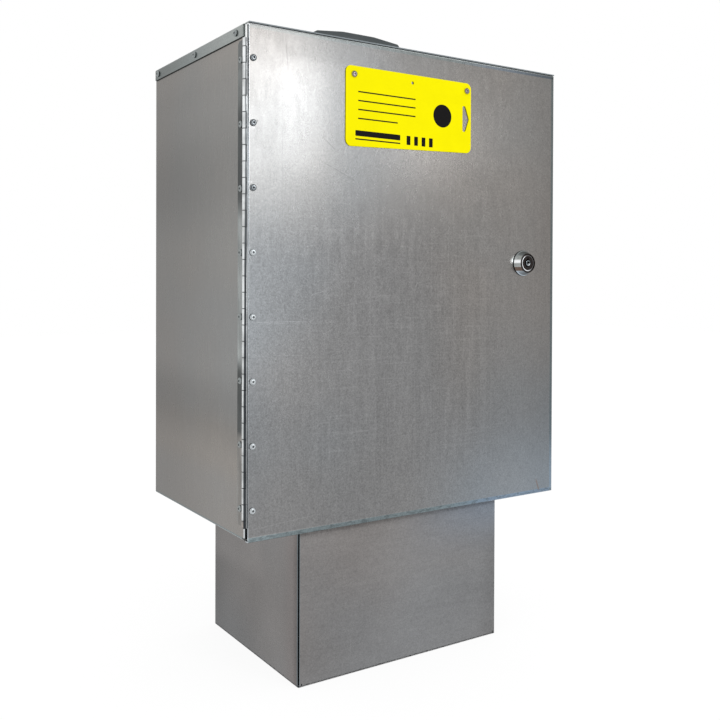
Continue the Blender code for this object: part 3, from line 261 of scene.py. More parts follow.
def door_hues(look, x, z, width):
    """Cool and warm areas, calm areas and the crossed rolling lines of the middle."""
    cool_left = x.span(340, 240) * z.span(430, 300, 0.0, 0.36)
    cool_right = x.span(220, 360) * z.span(200, 30)
    look.tint(cool_left + cool_right, (0.91, 1.0, 1.09), "MULTIPLY")
    warm = x.span(120, 340) * z.span(140, 460, 0.0, 0.85)
    warm_left = x.span(160, 80) * z.span(300, 420, 0.0, 0.42)
    look.tint(look.most(warm, warm_left), (1.06, 0.998, 0.94), "MULTIPLY")
    look.height *= z.span(300, 440, 1.0, 0.45)
    calm = x.span(200, 0) * z.span(360, 500, 0.0, 0.85)
    still = z.span(340, 420, 0.0, 0.38) * x.span(360, 260)
    share = x.span(300, width, 1.12, 0.82) - look.most(calm, still)
    look.light = (look.light - 1.0) * share + 1.0
    upright = look.noise(look.stretch((260.0, 1.0, 11.0)), 1.0, 3.0, 0.6)
    level = look.noise(look.stretch((13.0, 1.0, 330.0)), 1.0, 3.0, 0.6)
    broad = look.noise(look.stretch((75.0, 1.0, 3.0)), 1.0, 2.0)
    hatch = upright.span(0.52, 0.72, 0.0, 0.11) + level.span(0.54, 0.72, 0.0, 0.13)
    hatch += broad.span(0.42, 0.66, -0.045, 0.025)
    look.light += hatch * (x.span(30, 120) * x.span(430, 330) * z.span(440, 340) * z.span(30, 90))


def door_scratches(look, x, z):
    """Scratches and streaks, in millimetres from the lower left corner, and painted reflections of the dents
    beside two rivets: a dark smear and two glints.
    """
    scratches = (  # start, end, half width and strength
        ((-8, 254.4), (95, 254), 0.5, 0.324),
        ((2, 252), (88, 252.6), 0.45, 0.216),
        ((-10, 14), (112, 22), 0.45, 0.252),
        ((-6, 214.6), (26, 214.2), 0.45, 0.252),
        ((34, 214.9), (90, 213.2), 0.4, 0.18),
        ((90, 203), (215, 205.4), 0.5, 0.144),
        ((80, 285), (107, 291.5), 0.5, 0.288),
        ((96, 268), (196, 281), 0.45, 0.18),
        ((166, 283), (206, 284.5), 0.6, 0.27),
        ((238, 300), (262, 336), 0.5, 0.252),
        ((236, 291), (243, 303), 0.9, 0.288),
        ((150, 196), (207, 203), 0.5, 0.216),
        ((207, 203), (206, 181), 0.5, 0.18),
        ((96, 246), (102, 235), 0.6, 0.216),
        ((131, 197.5), (149, 185.5), 0.8, 0.216),
        ((92, 480.5), (122, 457.5), 0.55, -0.288),
        ((88, 450), (152, 423.5), 0.55, -0.252),
        ((160, 445), (170, 458), 0.4, 0.18),
        ((236, 424), (229, 412), 0.5, 0.216),
        ((47, 592), (50.5, 552), 0.9, -0.18),
        ((210, 456), (235, 456.6), 0.5, -0.216),
        ((238, 128), (229, 108), 0.6, 0.288),
        ((78, 44), (52, 8), 0.45, 0.144),
        ((300, 214), (322, 186), 0.45, 0.162),
        ((352, 92), (331, 60), 0.4, 0.144),
    )
    streaks = (  # distance from the left, foot, head and strength
        (43.8, 380, 640, -0.10),
        (44.9, 360, 640, 0.05),
        (392.4, 560, 640, 0.10),
        (382, 380, 570, 0.06),
        (427, 470, 600, 0.04),
        (286.5, 562, 590, 0.07),
    )
    for start, end, half, strength in scratches:
        look.light += look.segment(x, z, start, end, half) * strength
    for aside, foot, head, strength in streaks:
        look.light += look.segment(x, z, (aside, foot), (aside, head), 0.5) * strength
    # painted reflections of the dents beside two rivets: a dark smear and two glints
    for rivet, start, end, half, strength in (
        ("hinge_door_rivet_7", (3.5, 3.4), (6.5, 1.6), 1.7, -0.42),
        ("hinge_door_rivet_7", (-1.0, -5.5), (2.5, -5.5), 1.2, 0.20),
        ("hinge_door_rivet_6", (-3.5, 5.0), (-0.5, 7.0), 1.6, 0.30),
    ):
        low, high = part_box(rivet)
        middle = ((low + high) / 2 - door_low) / MM
        look.light += look.segment(x - middle.x, z - middle.z, start, end, half) * strength


def door_wear_and_shading(look, x, z, width, tall):
    """Specks, a stain, dark blotches on the lower fold, painted highlights on the hinge side's cut edge and
    along the top fold, painted light on the lower corners and painted shade on the right side and the top
    right fold.
    """
    spot, chance = look.cells(look.stretch((1.0, 0.0, 1.0)), 62.0)
    speck = spot.span(0.09, 0.03) * chance.span(0.72, 0.76)
    look.light -= speck * (z.span(360, 500) * x.span(280, 140)) * 0.22
    look.tint(look.segment(x, z, (452, 23), (460, 1), 1.6) * 0.6, (0.17, 0.115, 0.09))
    # painted highlight on the hinge side's cut edge, lighter towards the top
    rim = look.mix(z.span(100, 300), (0.45, 0.49, 0.52), (0.66, 0.71, 0.74))
    look.tint(x.span(0.4, 0), rim)
    blotch = look.noise(look.stretch((90.0, 90.0, 260.0)), 1.0, 3.0, 0.65).span(0.50, 0.62, 0.0, 0.5)
    look.tint(z.span(6.2, 5.4) * blotch, (0.07, 0.085, 0.09))
    # painted light: paler lower corners
    look.light += z.span(130, 0) * x.span(160, width, 0.0, 0.36)
    look.light += z.span(140, 100) * x.span(120, 10, 0.0, 0.11)
    # painted shade: darker towards the right side and along the top right fold
    look.light *= x.span(width - 75, width, 1.0, 0.90)
    look.light *= 1.0 - z.span(tall - 5.6, tall - 4.8) * x.span(width - 140, width, 0.0, 0.42)
    # painted highlight along the top fold, palest at the left
    fold = z.span(tall - 1.8, tall - 1.4)
    look.tint(fold, look.mix(x.span(0, 120), (0.90, 0.92, 0.93), (0.58, 0.62, 0.62)))
    look.rough += fold * 0.45


def door_painted_highlights(look, x, z):
    """Painted highlights: a bright reflection beside the lock, and the plateau of the highlight near the
    hinge with painted shade at its left and upper edges; the whole face a little darker.
    """
    lock = (LOCK - door_low) / MM
    # painted reflection of the chrome lock on the door beside it
    ring = look.hypot(x - (lock.x - 16), z - (lock.z + 4))
    lock_reflection = ring.span(10, 1) ** 2.0
    look.tint(lock_reflection * 0.6, (0.19, 0.225, 0.235))
    look.light += lock_reflection * 3.0
    # painted highlight plateau near the hinge, with painted shade at its left and upper edges
    highlight_plateau = abs(x - 72.5).span(12, 48, 0.15, 0.0) * abs(z - 495).span(85, 40)
    left_shade = x.span(60, 30, 0.0, 0.07) * z.span(450, 480)
    top_shade = z.span(560, 572, 0.0, 0.11) * (x.span(20, 50) * x.span(170, 120))
    look.light = (look.light + highlight_plateau - (left_shade + top_shade)) * 0.985


def door_marks(look):
    """The marks of the door's face, in the order in which they lie on each other."""
    x, _, z = look.axes(door_low)
    width, _, tall = (door_high - door_low) / MM
    door_folds(look, x, z, width, tall)
    door_hues(look, x, z, width)
    door_scratches(look, x, z)
    door_wear_and_shading(look, x, z, width, tall)
    door_painted_highlights(look, x, z)


def body_marks(look):
    """A painted bluish reflection on the fold along the floor, a painted highlight on the fold beside the
    door, and painted shade on the sides, under the roof flange and in a notch at the foot.
    """
    x, y, z = look.axes(wrap_low)
    width, depth, _ = (wrap_high - wrap_low) / MM
    top = (roof_low.z - wrap_low.z) / MM
    inward = width / 2 - abs(x - width / 2)
    # painted reflection: a bluish band on the fold along the floor
    look.tint(z.span(3.5, 2.9) * 0.85, (0.165, 0.205, 0.215))
    # painted highlight on the fold beside the door, and painted shade on its front edge low down
    fold = y.span(4.6, 3.6) * inward.span(4.6, 3.6)
    look.tint(fold, (0.80, 0.84, 0.86))
    front_gap_shade = z.span(100, 60) * y.span(2.0, 1.6)
    look.tint(front_gap_shade * fold, (0.03, 0.032, 0.035))
    # painted shade: darker towards the back and in two bands across the sides
    look.light *= y.span(-20, depth + 15, 1.01, 0.56)
    for middle, reach, deep in ((142, 62, 0.17), (432, 95, 0.16)):
        look.light -= abs(z - middle).span(8, reach, deep, 0.0)
    warm = z.span(260, 320, 0.0, 0.6) + abs(z - 100).span(50, 15)
    look.tint(warm, (1.045, 1.0, 0.955), "MULTIPLY")
    # painted light near the top
    look.light += z.span(top - 45, top - 10, 0.0, 0.06)
    # painted shadow under the roof flange
    shade = z.span(top - 1.3, top - 0.7) * z.span(top + 1.0, top + 0.5)
    look.tint(shade * y.span(4.6, 5.4), (0.012, 0.012, 0.012))
    # painted light: a paler strip between the roof flange and the lit fold
    relief = z.span(top - 0.5, top) * y.span(5.6, 5.0)
    look.tint(relief * (1.0 - fold), (0.20, 0.225, 0.225))
    # painted shade for a notch at the front of the foot
    notch_shade = z.span(3.4, 2.8) * y.span(9.0, 7.0)
    look.tint(notch_shade, (0.010, 0.012, 0.014))
    inside = inward.span(0.8, 1.0) * z.span(0.9, 1.1) * y.span(0.9, 1.1)
    look.set(Metallic=1.0 - inside * 0.6)
    look.tint(inside, (0.40, 0.40, 0.39))


def roof_marks(look):
    """The cut front edge is dark, the folded sides have rubbed lines along them, and painted light makes the
    roof lighter at the front and darker towards the back.
    """
    _, y, z = look.axes(roof_low)
    _, depth, tall = (roof_high - roof_low) / MM
    cut = y.span(0.5, 0.1)
    crest = z.span(tall - 0.75, tall - 0.55)
    look.tint(cut, look.mix(crest, (0.18, 0.20, 0.21), (0.19, 0.21, 0.22)))
    look.rough += cut * 0.4
    rub = look.noise(look.stretch((4.0, 4.0, 900.0)), 1.0, 2.0)
    look.light += (rub - 0.5) * 0.35 * z.span(tall - 1.8, tall - 2.2)
    look.tint(y.span(100, depth), (0.92, 1.01, 1.01), "MULTIPLY")
    # painted light: lighter at the front, darker towards the back
    look.light *= y.span(0, depth, 1.38, 0.46)


def plinth_marks(look):
    """Scratches, painted shade under the cabinet, on the side, towards the back and at the foot, a painted
    sheen on the front, and painted highlights along and painted shade in the slit at the front left corner.
    """
    x, y, z = look.axes(plinth_low)
    width, depth, tall = (plinth_high - plinth_low) / MM
    side = x.span(0.8, 0.3)
    cloud = look.noise(look.stretch((5.0, 9.0, 7.0), shift=(1.7, 0.4, 0.9)), 1.0, 2.0)
    look.light += cloud.span(0.35, 0.65, -0.06, 0.06)
    # painted shade on the side near the front corner
    look.light -= side * y.span(17, 5) * 0.28
    ragged = look.noise(look.stretch((140.0, 140.0, 1.0)), 1.0, 2.0).span(0.45, 0.7, 0.2, 1.8)
    # painted shadow along the foot, with a ragged edge
    look.tint((z - ragged).span(0.8, 0.2), (0.05, 0.047, 0.045))
    # painted shade: the side darker than the front, and darker towards the back and low at the back
    look.light *= look.mix(side, (1.0, 1.0, 1.0), (0.78, 0.78, 0.78))
    look.light *= y.span(100, depth, 1.0, 0.80)
    base = y.span(60, 140, 0.0, 0.12) + y.span(140, depth, 0.0, 0.10)
    look.light -= base * z.span(120, 90)
    look.tint(side * y.span(50, 0) * 0.4, (0.235, 0.185, 0.175))
    # painted shade under the cabinet
    look.light -= z.span(tall - 22, tall - 4) * (1.0 - side) * 0.2
    look.light -= z.span(tall - 14.5, tall - 9.8) * (1.0 - side) * 0.24
    # painted shade low at the right end
    look.light -= x.span(width - 40, width) * z.span(160, 120, 0.0, 0.15)
    # painted sheen on the upper right of the front
    sheen = z.span(110, tall) * x.span(120, width)
    look.tint(sheen * 0.8, (0.212, 0.25, 0.305))
    corner = (x + y).span(9, 8)
    across = (x - y) * math.sqrt(0.5)
    # painted highlights along the edges of the slit
    rim = across.span(-3.2, -2.6) * across.span(1.7, 1.4)
    look.tint(rim * corner * 0.8, (0.20, 0.245, 0.27))
    # painted shade in the slit
    slit = abs(across).span(1.05, 0.95)
    look.tint(slit * corner, (0.003, 0.003, 0.003))
    # painted shade at the foot
    look.tint(z.span(2.6, 1.0) * 0.55, (0.09, 0.095, 0.10))
    for start, end, strength in (
        ((40, 150), (66, 122), 0.12),
        ((118, 62), (121, 20), 0.10),
        ((230, 120), (262, 150), 0.08),
    ):
        look.light += look.segment(x, z, start, end, 0.5) * strength


# ---- Materials of the fittings ----
def hinge_zinc():
    """Bright rolled knuckles, lighter towards the top, on dull plates with painted reflections, with grime in
    the joints, and painted shade and a painted highlight line along the door.
    """
    look = Look("hinge_zinc_look", Metallic=1.0)
    x, y, z = look.axes((*AXIS, pin_low.z))
    length = (pin_high.z - pin_low.z) / MM
    streak = look.noise(look.stretch((900.0, 900.0, 30.0)), 1.0, 3.0)
    patch = look.noise(look.place, 60.0, 3.0, 0.6)
    long = look.noise(look.stretch((60.0, 60.0, 22.0)), 1.0, 3.0, 0.55)

    # Knuckles: bright, with painted light making them lighter towards the top, dirt in their joints and rust
    # on the lowest one.
    bright = look.mix(patch.span(0.35, 0.75), (0.92, 0.95, 0.96), (0.62, 0.64, 0.64))
    knuckle = look.times(bright, z.span(0, length, 0.72, 1.0))
    first_joint, pitch = 9.5, KNUCKLE_PITCH / MM
    beat = look.math("FRACT", (z - first_joint) / pitch)
    joint = look.math("MINIMUM", beat, 1.0 - beat)
    knuckle = look.mix(joint.span(0.018, 0.034, 0.92, 0.0), knuckle, (0.05, 0.052, 0.052))
    rust = look.mix(patch.span(0.4, 0.6), (0.34, 0.28, 0.24), (0.12, 0.10, 0.09))
    knuckle = look.mix(z.span(8, 11, 0.75, 0.0), knuckle, rust)

    # Plates: dull, with painted reflections as paler stretches along their height, and a paler rear edge at
    # the foot.
    pale = z.span(175, 205) * z.span(386, 350)
    pale = look.most(pale, z.span(112, 100))
    pale = look.most(pale, z.span(470, 510, 0.0, 0.45))
    lit = look.times((0.245, 0.262, 0.260), z.span(340, 220, 1.0, 1.22))
    lit = look.mix(z.span(160, 110), lit, (0.208, 0.200, 0.188))
    plate = look.mix(pale, (0.037, 0.043, 0.043), lit)
    plate = look.times(plate, long.spread(0.75, 1.25))
    pin = (AXIS.y - pin_low.y) / MM
    rim = y.span(22.2 - pin, 22.8 - pin) * z.span(60, 40)
    plate = look.mix(rim * 0.8, plate, (0.36, 0.40, 0.42))
    look.colour = look.mix(look.hypot(x, y).span(3.0, 3.8), knuckle, plate)

    # Along the door: painted shade on the knuckles' flank and a painted highlight line beyond it.
    flank = x * 0.84 - y * 0.55
    begin = flank - (z.span(120, 280, -0.45, 0.05) + z.span(300, 400, 0.0, 0.7))
    close = flank - (z.span(280, 350, 0.0, 0.35) + z.span(450, 520, 0.0, -0.85))
    ahead = y.span(0.2, -0.1)
    line = look.times((0.95, 0.98, 1.0), z.span(0, 500, 0.33, 0.82))
    line = look.times(line, z.span(430, 520, 1.0, 0.30))
    look.tint(close.span(2.4, 2.8) * flank.span(5.4, 5.2) * ahead, line)
    deep = look.mix(z.span(200, 450), (0.030, 0.035, 0.040), (0.055, 0.061, 0.066))
    look.tint(begin.span(-0.25, 0.35) * close.span(2.8, 2.4) * ahead * 0.97, deep)
    look.colour = look.times(look.colour, streak.spread(0.86, 1.1))
    rough = patch.spread(0.22, 0.36) + flank.span(2.8, 3.1) * 0.4
    return look.surface(rough, streak, 0.12, 0.4 * MM)


def rivet_look(name, bright, ring, bore=1.7, pit=(0.06, 0.066, 0.072)):
    """Drawn blind rivet: scuffed dome, a dull turned ring, a dark mandrel hole and painted shade round the
    foot of the dome; z is along it.
    """
    look = Look(name, Metallic=1.0)
    x, y, z = look.axes((0, 0, 0))
    radius = look.hypot(x, y)
    scuff = look.noise(look.place, 700.0, 3.0, 0.6)
    look.colour = look.mix(scuff.spread(), bright, tuple(c * 0.78 for c in bright))
    look.tint(radius.span(2.2, 2.6) * radius.span(3.5, 3.1), ring)
    hole = radius.span(bore, bore - 0.5)
    look.tint(hole, pit)
    # painted shade round the foot of the dome
    look.tint(z.span(0.35, 0.75, 0.9, 0.0) * radius.span(3.2, 3.7), (0.06, 0.065, 0.07))
    return look.surface(scuff.spread(0.24, 0.38) + hole * 0.3, scuff, 0.10)


def chrome_look():
    """Chrome with painted reflections: grey-green at the top, a bright band, brown below it and a bluish
    crescent at the bottom; painted highlights on the lip and the rim, and painted shade as a dark line at
    foot and rim.
    """
    look = Look("chrome_look", Metallic=1.0)
    x, y, z = look.axes(LOCK)
    radius = look.hypot(x, z)
    film = look.noise(look.place, 260.0, 4.0, 0.6)
    look.colour = look.mix(film.spread(), (0.40, 0.42, 0.41), (0.28, 0.29, 0.285))
    # painted reflections: grey-green at the top, a bright band, brown below it and a bluish crescent at the
    # bottom
    look.tint(z.span(7, 13) * 0.75, (0.17, 0.19, 0.19))
    look.tint(z.span(-1.0, 1.2) * z.span(6.0, 2.8), (0.92, 0.93, 0.94))
    look.tint(z.span(-4.6, -6.2) * z.span(-11.2, -10.2) * 0.92, (0.115, 0.072, 0.054))
    look.tint(z.span(-10.4, -11.4) * 0.8, (0.40, 0.47, 0.54))
    # painted highlight on the front of the lip, brightest at mid height
    lip_reflection = look.mix(abs(z).span(2, 11), (0.92, 0.93, 0.94), (0.36, 0.37, 0.38))
    look.tint(y.span(-10.6, -11.0), lip_reflection)
    # painted shade: a dark ring on the rim
    groove = radius.span(12.55, 12.75) * radius.span(13.75, 13.45)
    look.tint(groove * 0.96, (0.022, 0.02, 0.02))
    # painted highlight on the right part of the rim, the rest of the rim dark
    rim_glint = radius.span(12.7, 12.9) * x.span(6, 11)
    rim = look.mix(rim_glint, (0.024, 0.018, 0.016), (0.14, 0.15, 0.155))
    look.tint(radius.span(13.4, 13.2), rim)
    # painted shade at the foot
    look.tint(y.span(-1.6, -1.1), (0.018, 0.022, 0.025))
    return look.surface(film.spread(0.12, 0.22), film, 0.04)


def turned_steel_look():
    """Bright turned steel with fine rings, a painted highlight low on the right, and a dark oval keyhole,
    painted shade, in the middle of its face.
    """
    look = Look("turned_steel_look", Metallic=1.0)
    x, _, z = look.axes(LOCK)
    ring = look.noise(look.stretch((200.0, 2400.0, 200.0)), 1.0, 2.0)
    look.colour = look.mix(ring.spread(), (0.22, 0.25, 0.27), (0.14, 0.16, 0.17))
    # painted highlight low on the right of the face
    look.tint(z.span(0.2, -1.4) * x.span(-2.0, 1.4) * 0.5, (0.80, 0.82, 0.84))
    wide, tall = x / 3.1, (z - 0.8) / 1.5
    oval = wide * wide + tall * tall
    # painted shade: a dark oval for the keyhole
    look.tint(oval.span(1.5, 0.8), (0.012, 0.012, 0.012))
    return look.surface(ring.spread(0.12, 0.24), ring, 0.08)


def dark_lock_look():
    """Blackened, slightly oily lock face, with a painted highlight: a bright ring that fades to the upper
    right.
    """
    look = Look("dark_lock_look", Metallic=0.7)
    x, _, z = look.axes(LOCK)
    radius = look.hypot(x, z)
    grime = look.noise(look.place, 420.0, 4.0, 0.6)
    look.colour = look.mix(grime.spread(), (0.008, 0.0055, 0.005), (0.020, 0.013, 0.011))
    # painted highlight: a bright ring, fading to the upper right
    band = radius.span(9.8, 10.0) * radius.span(11.5, 11.3)
    band *= (x * 0.85 + z * 0.5).span(4, -6, 0.12, 1.0)
    look.tint(band, (0.74, 0.76, 0.78))
    return look.surface(grime.spread(0.32, 0.5) - band * 0.2, grime, 0.12)


def fastener_look():
    """Zinc-plated fastener, slightly mottled."""
    look = Look("fastener_look", Metallic=1.0)
    fleck = look.noise(look.place, 500.0, 4.0, 0.6)
    look.colour = look.mix(fleck.spread(), (0.46, 0.47, 0.46), (0.33, 0.34, 0.33))
    return look.surface(fleck.spread(0.25, 0.4), fleck, 0.08, 0.4 * MM)


def yellow_look():
    """Yellow plate, almost even, with the faint orange peel of a moulded or coated sheet."""
    look = Look("yellow_look", Specular_IOR_Level=0.02)
    peel = look.noise(look.place, 700.0, 3.0)
    wear = look.noise(look.place, 30.0, 3.0)
    look.colour = look.mix(wear.span(0.35, 0.75), (0.93, 0.845, 0.0), (0.90, 0.815, 0.0))
    return look.surface(peel.spread(0.40, 0.52), peel, 0.05)


def ink_look():
    """Black print, a little uneven."""
    look = Look("ink_look", Specular_IOR_Level=0.06)
    peel = look.noise(look.place, 900.0, 3.0)
    look.colour = look.mix(peel.spread(), (0.004, 0.0035, 0.0035), (0.008, 0.007, 0.007))
    return look.surface(peel.spread(0.45, 0.6))


def handle_look():
    """Slate grey moulding with a fine spark-eroded texture."""
    look = Look("handle_look", Specular_IOR_Level=0.35)
    skin = look.noise(look.place, 1400.0, 3.0, 0.6)
    wear_and_shade = look.noise(look.stretch((18.0, 60.0, 60.0)), 1.0, 3.0)
    look.colour = look.mix(wear_and_shade.span(0.35, 0.7), (0.050, 0.062, 0.066), (0.064, 0.076, 0.080))
    return look.surface(skin.spread(0.42, 0.58), skin, 0.22, 0.4 * MM)


def rubber_look():
    """Matt black rubber with a dusty bloom."""
    look = Look("rubber_look", Specular_IOR_Level=0.25)
    dust = look.noise(look.place, 300.0, 4.0, 0.6)
    look.colour = look.mix(dust.span(0.4, 0.8), (0.014, 0.014, 0.015), (0.045, 0.044, 0.042))
    return look.surface(dust.spread(0.62, 0.8), dust, 0.1, 0.4 * MM)


# ---- Mesh helpers ----
def show(name, data):
    """A new object in the scene."""
    made = bpy.data.objects.new(name, data)
    bpy.context.scene.collection.objects.link(made)
    return made


def solid(name, shape, material, sharp=32):
    """A mesh made from a bmesh, smooth apart from its sharp edges."""
    mesh = bpy.data.meshes.new(name)
    bmesh.ops.recalc_face_normals(shape, faces=shape.faces)
    shape.to_mesh(mesh)
    shape.free()
    mesh.shade_smooth()
    mesh.set_sharp_from_angle(angle=math.radians(sharp))
    mesh.materials.append(material)
    return mesh


def piece(name, mesh, body, stands_for=(), place=FLAT):
    """A piece that rides on a body and stands for CAD nodes."""
    made = show(name, mesh)
    made.matrix_world = place
    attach(made, body)
    if stands_for:
        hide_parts(*stands_for)
    return made


def soften(made, width, segments=2, angle=40):
    """Rounds the sharp edges of a piece."""
    step = made.modifiers.new("edge", "BEVEL")
    step.width = width
    step.segments = segments
    step.limit_method = "ANGLE"
    step.angle_limit = math.radians(angle)
    step.harden_normals = True


def cut(made, name, shape):
    """Cuts a hidden shape out of a piece."""
    bmesh.ops.recalc_face_normals(shape, faces=shape.faces)
    mesh = bpy.data.meshes.new(name)
    shape.to_mesh(mesh)
    shape.free()
    cutter = show(name, mesh)
    cutter.hide_render = True
    cutter.hide_viewport = True
    step = made.modifiers.new(name, "BOOLEAN")
    step.object = cutter
    step.operation = "DIFFERENCE"


def dress(node, material):
    """Gives a kept CAD node its material and smooth folds."""
    shown = nodes[node]
    mesh = shown.data
    mesh.materials.clear()
    mesh.materials.append(material)
    custom = mesh.attributes.get("custom_normal")
    if custom:
        mesh.attributes.remove(custom)
    for face in mesh.polygons:
        face.use_smooth = True
    weld = shown.modifiers.new("weld", "WELD")
    weld.merge_threshold = 0.002 * MM
    split = shown.modifiers.new("split", "EDGE_SPLIT")
    split.split_angle = math.radians(32)
    level = shown.modifiers.new("level", "WEIGHTED_NORMAL")
    level.weight = 100


def arc(centre, radius, start, sweep, steps):
    """Points along an arc, with both of its ends."""
    angles = [start + sweep * i / steps for i in range(steps + 1)]
    return [(centre[0] + radius * math.cos(a), centre[1] + radius * math.sin(a)) for a in angles]


def circle(centre, radius, sides):
    """The corners of a circle's polygon."""
    return arc(centre, radius, 0, math.tau * (sides - 1) / sides, sides - 1)


def lathe(profile, sides, place=FLAT):
    """A solid turned about Z from (radius, height) points."""
    shape = bmesh.new()
    rings = []
    for radius, height in profile:
        ring = circle((0, 0), radius, sides) if radius else [(0, 0)]
        rings.append([shape.verts.new(place @ Vector((x, y, height))) for x, y in ring])
    pairs = list(zip(rings, rings[1:]))
    if profile[0][0] and profile[-1][0]:
        pairs.append((rings[-1], rings[0]))
    for lower, upper in pairs:
        for i in range(sides):
            j = (i + 1) % sides
            below = [lower[i % len(lower)], lower[j % len(lower)]]
            above = [upper[j % len(upper)], upper[i % len(upper)]]
            shape.faces.new(dict.fromkeys(below + above))
    return shape


def prism(shape, outline, start, end, place=FLAT):
    """Adds a closed prism of an outline in the local XY plane between two heights."""
    low = [shape.verts.new(place @ Vector((x, y, start))) for x, y in outline]
    high = [shape.verts.new(place @ Vector((x, y, end))) for x, y in outline]
    shape.faces.new(low[::-1])
    shape.faces.new(high)
    for i, corner in enumerate(low):
        j = (i + 1) % len(low)
        shape.faces.new((corner, low[j], high[j], high[i]))


def rounded(points, radii, steps=5):
    """A polygon with its corners rounded."""
    made = []
    count = len(points)
    for i, (point, radius) in enumerate(zip(points, radii)):
        here = Vector(point)
        back = (Vector(points[i - 1]) - here).normalized()
        ahead = (Vector(points[(i + 1) % count]) - here).normalized()
        half = back.angle(ahead) / 2
        reach = radius / math.tan(half)
        middle = here + (back + ahead).normalized() * (radius / math.sin(half))
        first = here + back * reach - middle
        last = here + ahead * reach - middle
        turn = first.angle_signed(last)
        for step in range(steps + 1):
            spoke = first.copy()
            spoke.rotate(Matrix.Rotation(-turn * step / steps, 2))
            made.append(tuple(middle + spoke))
    return made


# ---- Kept CAD nodes ----
inner = sheet("inner_look", (0.27, 0.27, 0.265), metallic=0.6)
fastener = fastener_look()
dress("cabinet_wrap", sheet("body_look", (0.228, 0.222, 0.213), "z", 0.35, body_marks))
dress("back_panel", inner)
dress("front_header", inner)
dress("roof_panel", sheet("roof_look", (0.215, 0.236, 0.232), "x", 0.5, roof_marks))
dress("door_panel", sheet("door_look", (0.207, 0.207, 0.207), marks=door_marks))
dress("plinth_wrap", sheet("plinth_look", (0.222, 0.217, 0.217), "x", 0.7, plinth_marks))
dress("cable_grommet", rubber_look())
for name in nodes:
    if name.startswith(("base_", "handle_screw", "lock_nut", "lock_cam", "cam_screw")):
        dress(name, fastener)


# ---- Piano hinge ----
def hinge_edges():
    """The heights at which one knuckle ends and the next begins."""
    end_gap, first_knuckle = 0.5 * MM, 9.0 * MM
    low, high = pin_low.z + end_gap, pin_high.z - end_gap
    edges = [low, low + first_knuckle]
    while edges[-1] + KNUCKLE_PITCH < high:
        edges.append(edges[-1] + KNUCKLE_PITCH)
    return edges + [high]


def build_leaf(name, node, turn, first, body, material):
    """A leaf whose plate has cut corners, with its knuckles rolled one by one."""
    _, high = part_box(node)
    gauge, clearance, cut_corner, further_back = 1.2 * MM, 0.15 * MM, 3.5 * MM, 2.6 * MM
    bore = PIN_RADIUS + clearance
    outside = bore + gauge
    reach = (high.y - AXIS.y + further_back) if turn else (high.x - AXIS.x)
    root = outside + 0.3 * MM
    stand = Matrix.Translation((*AXIS, 0)) @ Matrix.Rotation(turn, 4, "Z")
    swap_yz = Matrix(((1, 0, 0, 0), (0, 0, 1, 0), (0, 1, 0, 0), (0, 0, 0, 1)))
    shape = bmesh.new()
    edges = hinge_edges()
    bottom, top = edges[0], edges[-1]
    plate = [
        (root, bottom),
        (reach - cut_corner, bottom),
        (reach, bottom + cut_corner),
        (reach, top - cut_corner),
        (reach - cut_corner, top),
        (root, top),
    ]
    prism(shape, plate, -outside, -bore, stand @ swap_yz)
    if not turn:
        near, back = outside + 0.2 * MM, root + 0.4 * MM
        cove = arc((0, 0), near, -math.radians(66), math.radians(60), 10)
        hollow = [(back, 0.05 * MM - outside), *cove, (back, -0.3 * MM)]
        prism(shape, hollow, bottom, top, stand)
    jitter = random.Random(11 + first)
    for index, (start, end) in enumerate(zip(edges, edges[1:])):
        if index % 2 != first:
            continue
        wide = jitter.uniform(-0.05, 0.06) * MM
        lean = jitter.uniform(-0.012, 0.012)
        roll = -math.radians(292 + jitter.uniform(-6, 6))
        outer = arc((0, 0), outside + wide, -math.pi / 2, roll, 34)
        inside = arc((0, 0), bore, -math.pi / 2, roll, 34)
        tail = root + 0.2 * MM
        outline = [(tail, -outside), *outer, *inside[::-1], (tail, -bore)]
        prism(shape, outline, start + clearance, end - clearance, stand @ Matrix.Rotation(lean, 4, "Z"))
    soften(piece(name, solid(name, shape, material), body, [node]), 0.14 * MM)


def build_hinge():
    """Both leaves, and the pin with softened ends."""
    zinc = hinge_zinc()
    build_leaf("hinge_leaf_on_body", "hinge_body_leaf", math.pi / 2, 1, "cabinet", zinc)
    build_leaf("hinge_leaf_on_door", "hinge_door_leaf", 0.0, 0, "door", zinc)
    soft = 0.4 * MM
    low, high = pin_low.z, pin_high.z
    profile = [
        (0, low),
        (PIN_RADIUS - soft, low),
        (PIN_RADIUS, low + soft),
        (PIN_RADIUS, high - soft),
        (PIN_RADIUS - soft, high),
        (0, high),
    ]
    rod = lathe(profile, 24, Matrix.Translation((*AXIS, 0)))
    piece("hinge_pin_rod", solid("hinge_pin_rod", rod, zinc), "cabinet", ["hinge_pin"])


# ---- Rivets ----
def rivet_mesh(name, length, material):
    """A domed blind rivet, its head on height 0, with the broken mandrel low in its hole."""
    head, hole, shank, tail = 4.0 * MM, 1.3 * MM, 2.0 * MM, 2.9 * MM
    lift = 0.3 * MM
    edge = hole + 0.25 * MM
    mandrel = [(0, 1.55), (0.5, 1.5), (1.04, 1.3), (1.3, 1.35), (1.3, 1.95)]
    profile = [(radius * MM, lift + height * MM) for radius, height in mandrel]
    for share in (step / 8 for step in range(9)):
        rise = 0.45 * MM + 1.75 * MM * math.sqrt(max(0.0, 1 - share ** 2.3))
        profile.append((edge + (head - edge) * share, lift + rise))
    profile += [
        (head - 0.1 * MM, lift + 0.05 * MM),
        (shank, lift),
        (shank, 2.6 * MM - length),
        (tail, 2.3 * MM - length),
        (tail, 0.9 * MM - length),
        (shank + 0.3 * MM, -length),
        (0, -length),
    ]
    return solid(name, lathe(profile, 28), material, 38)


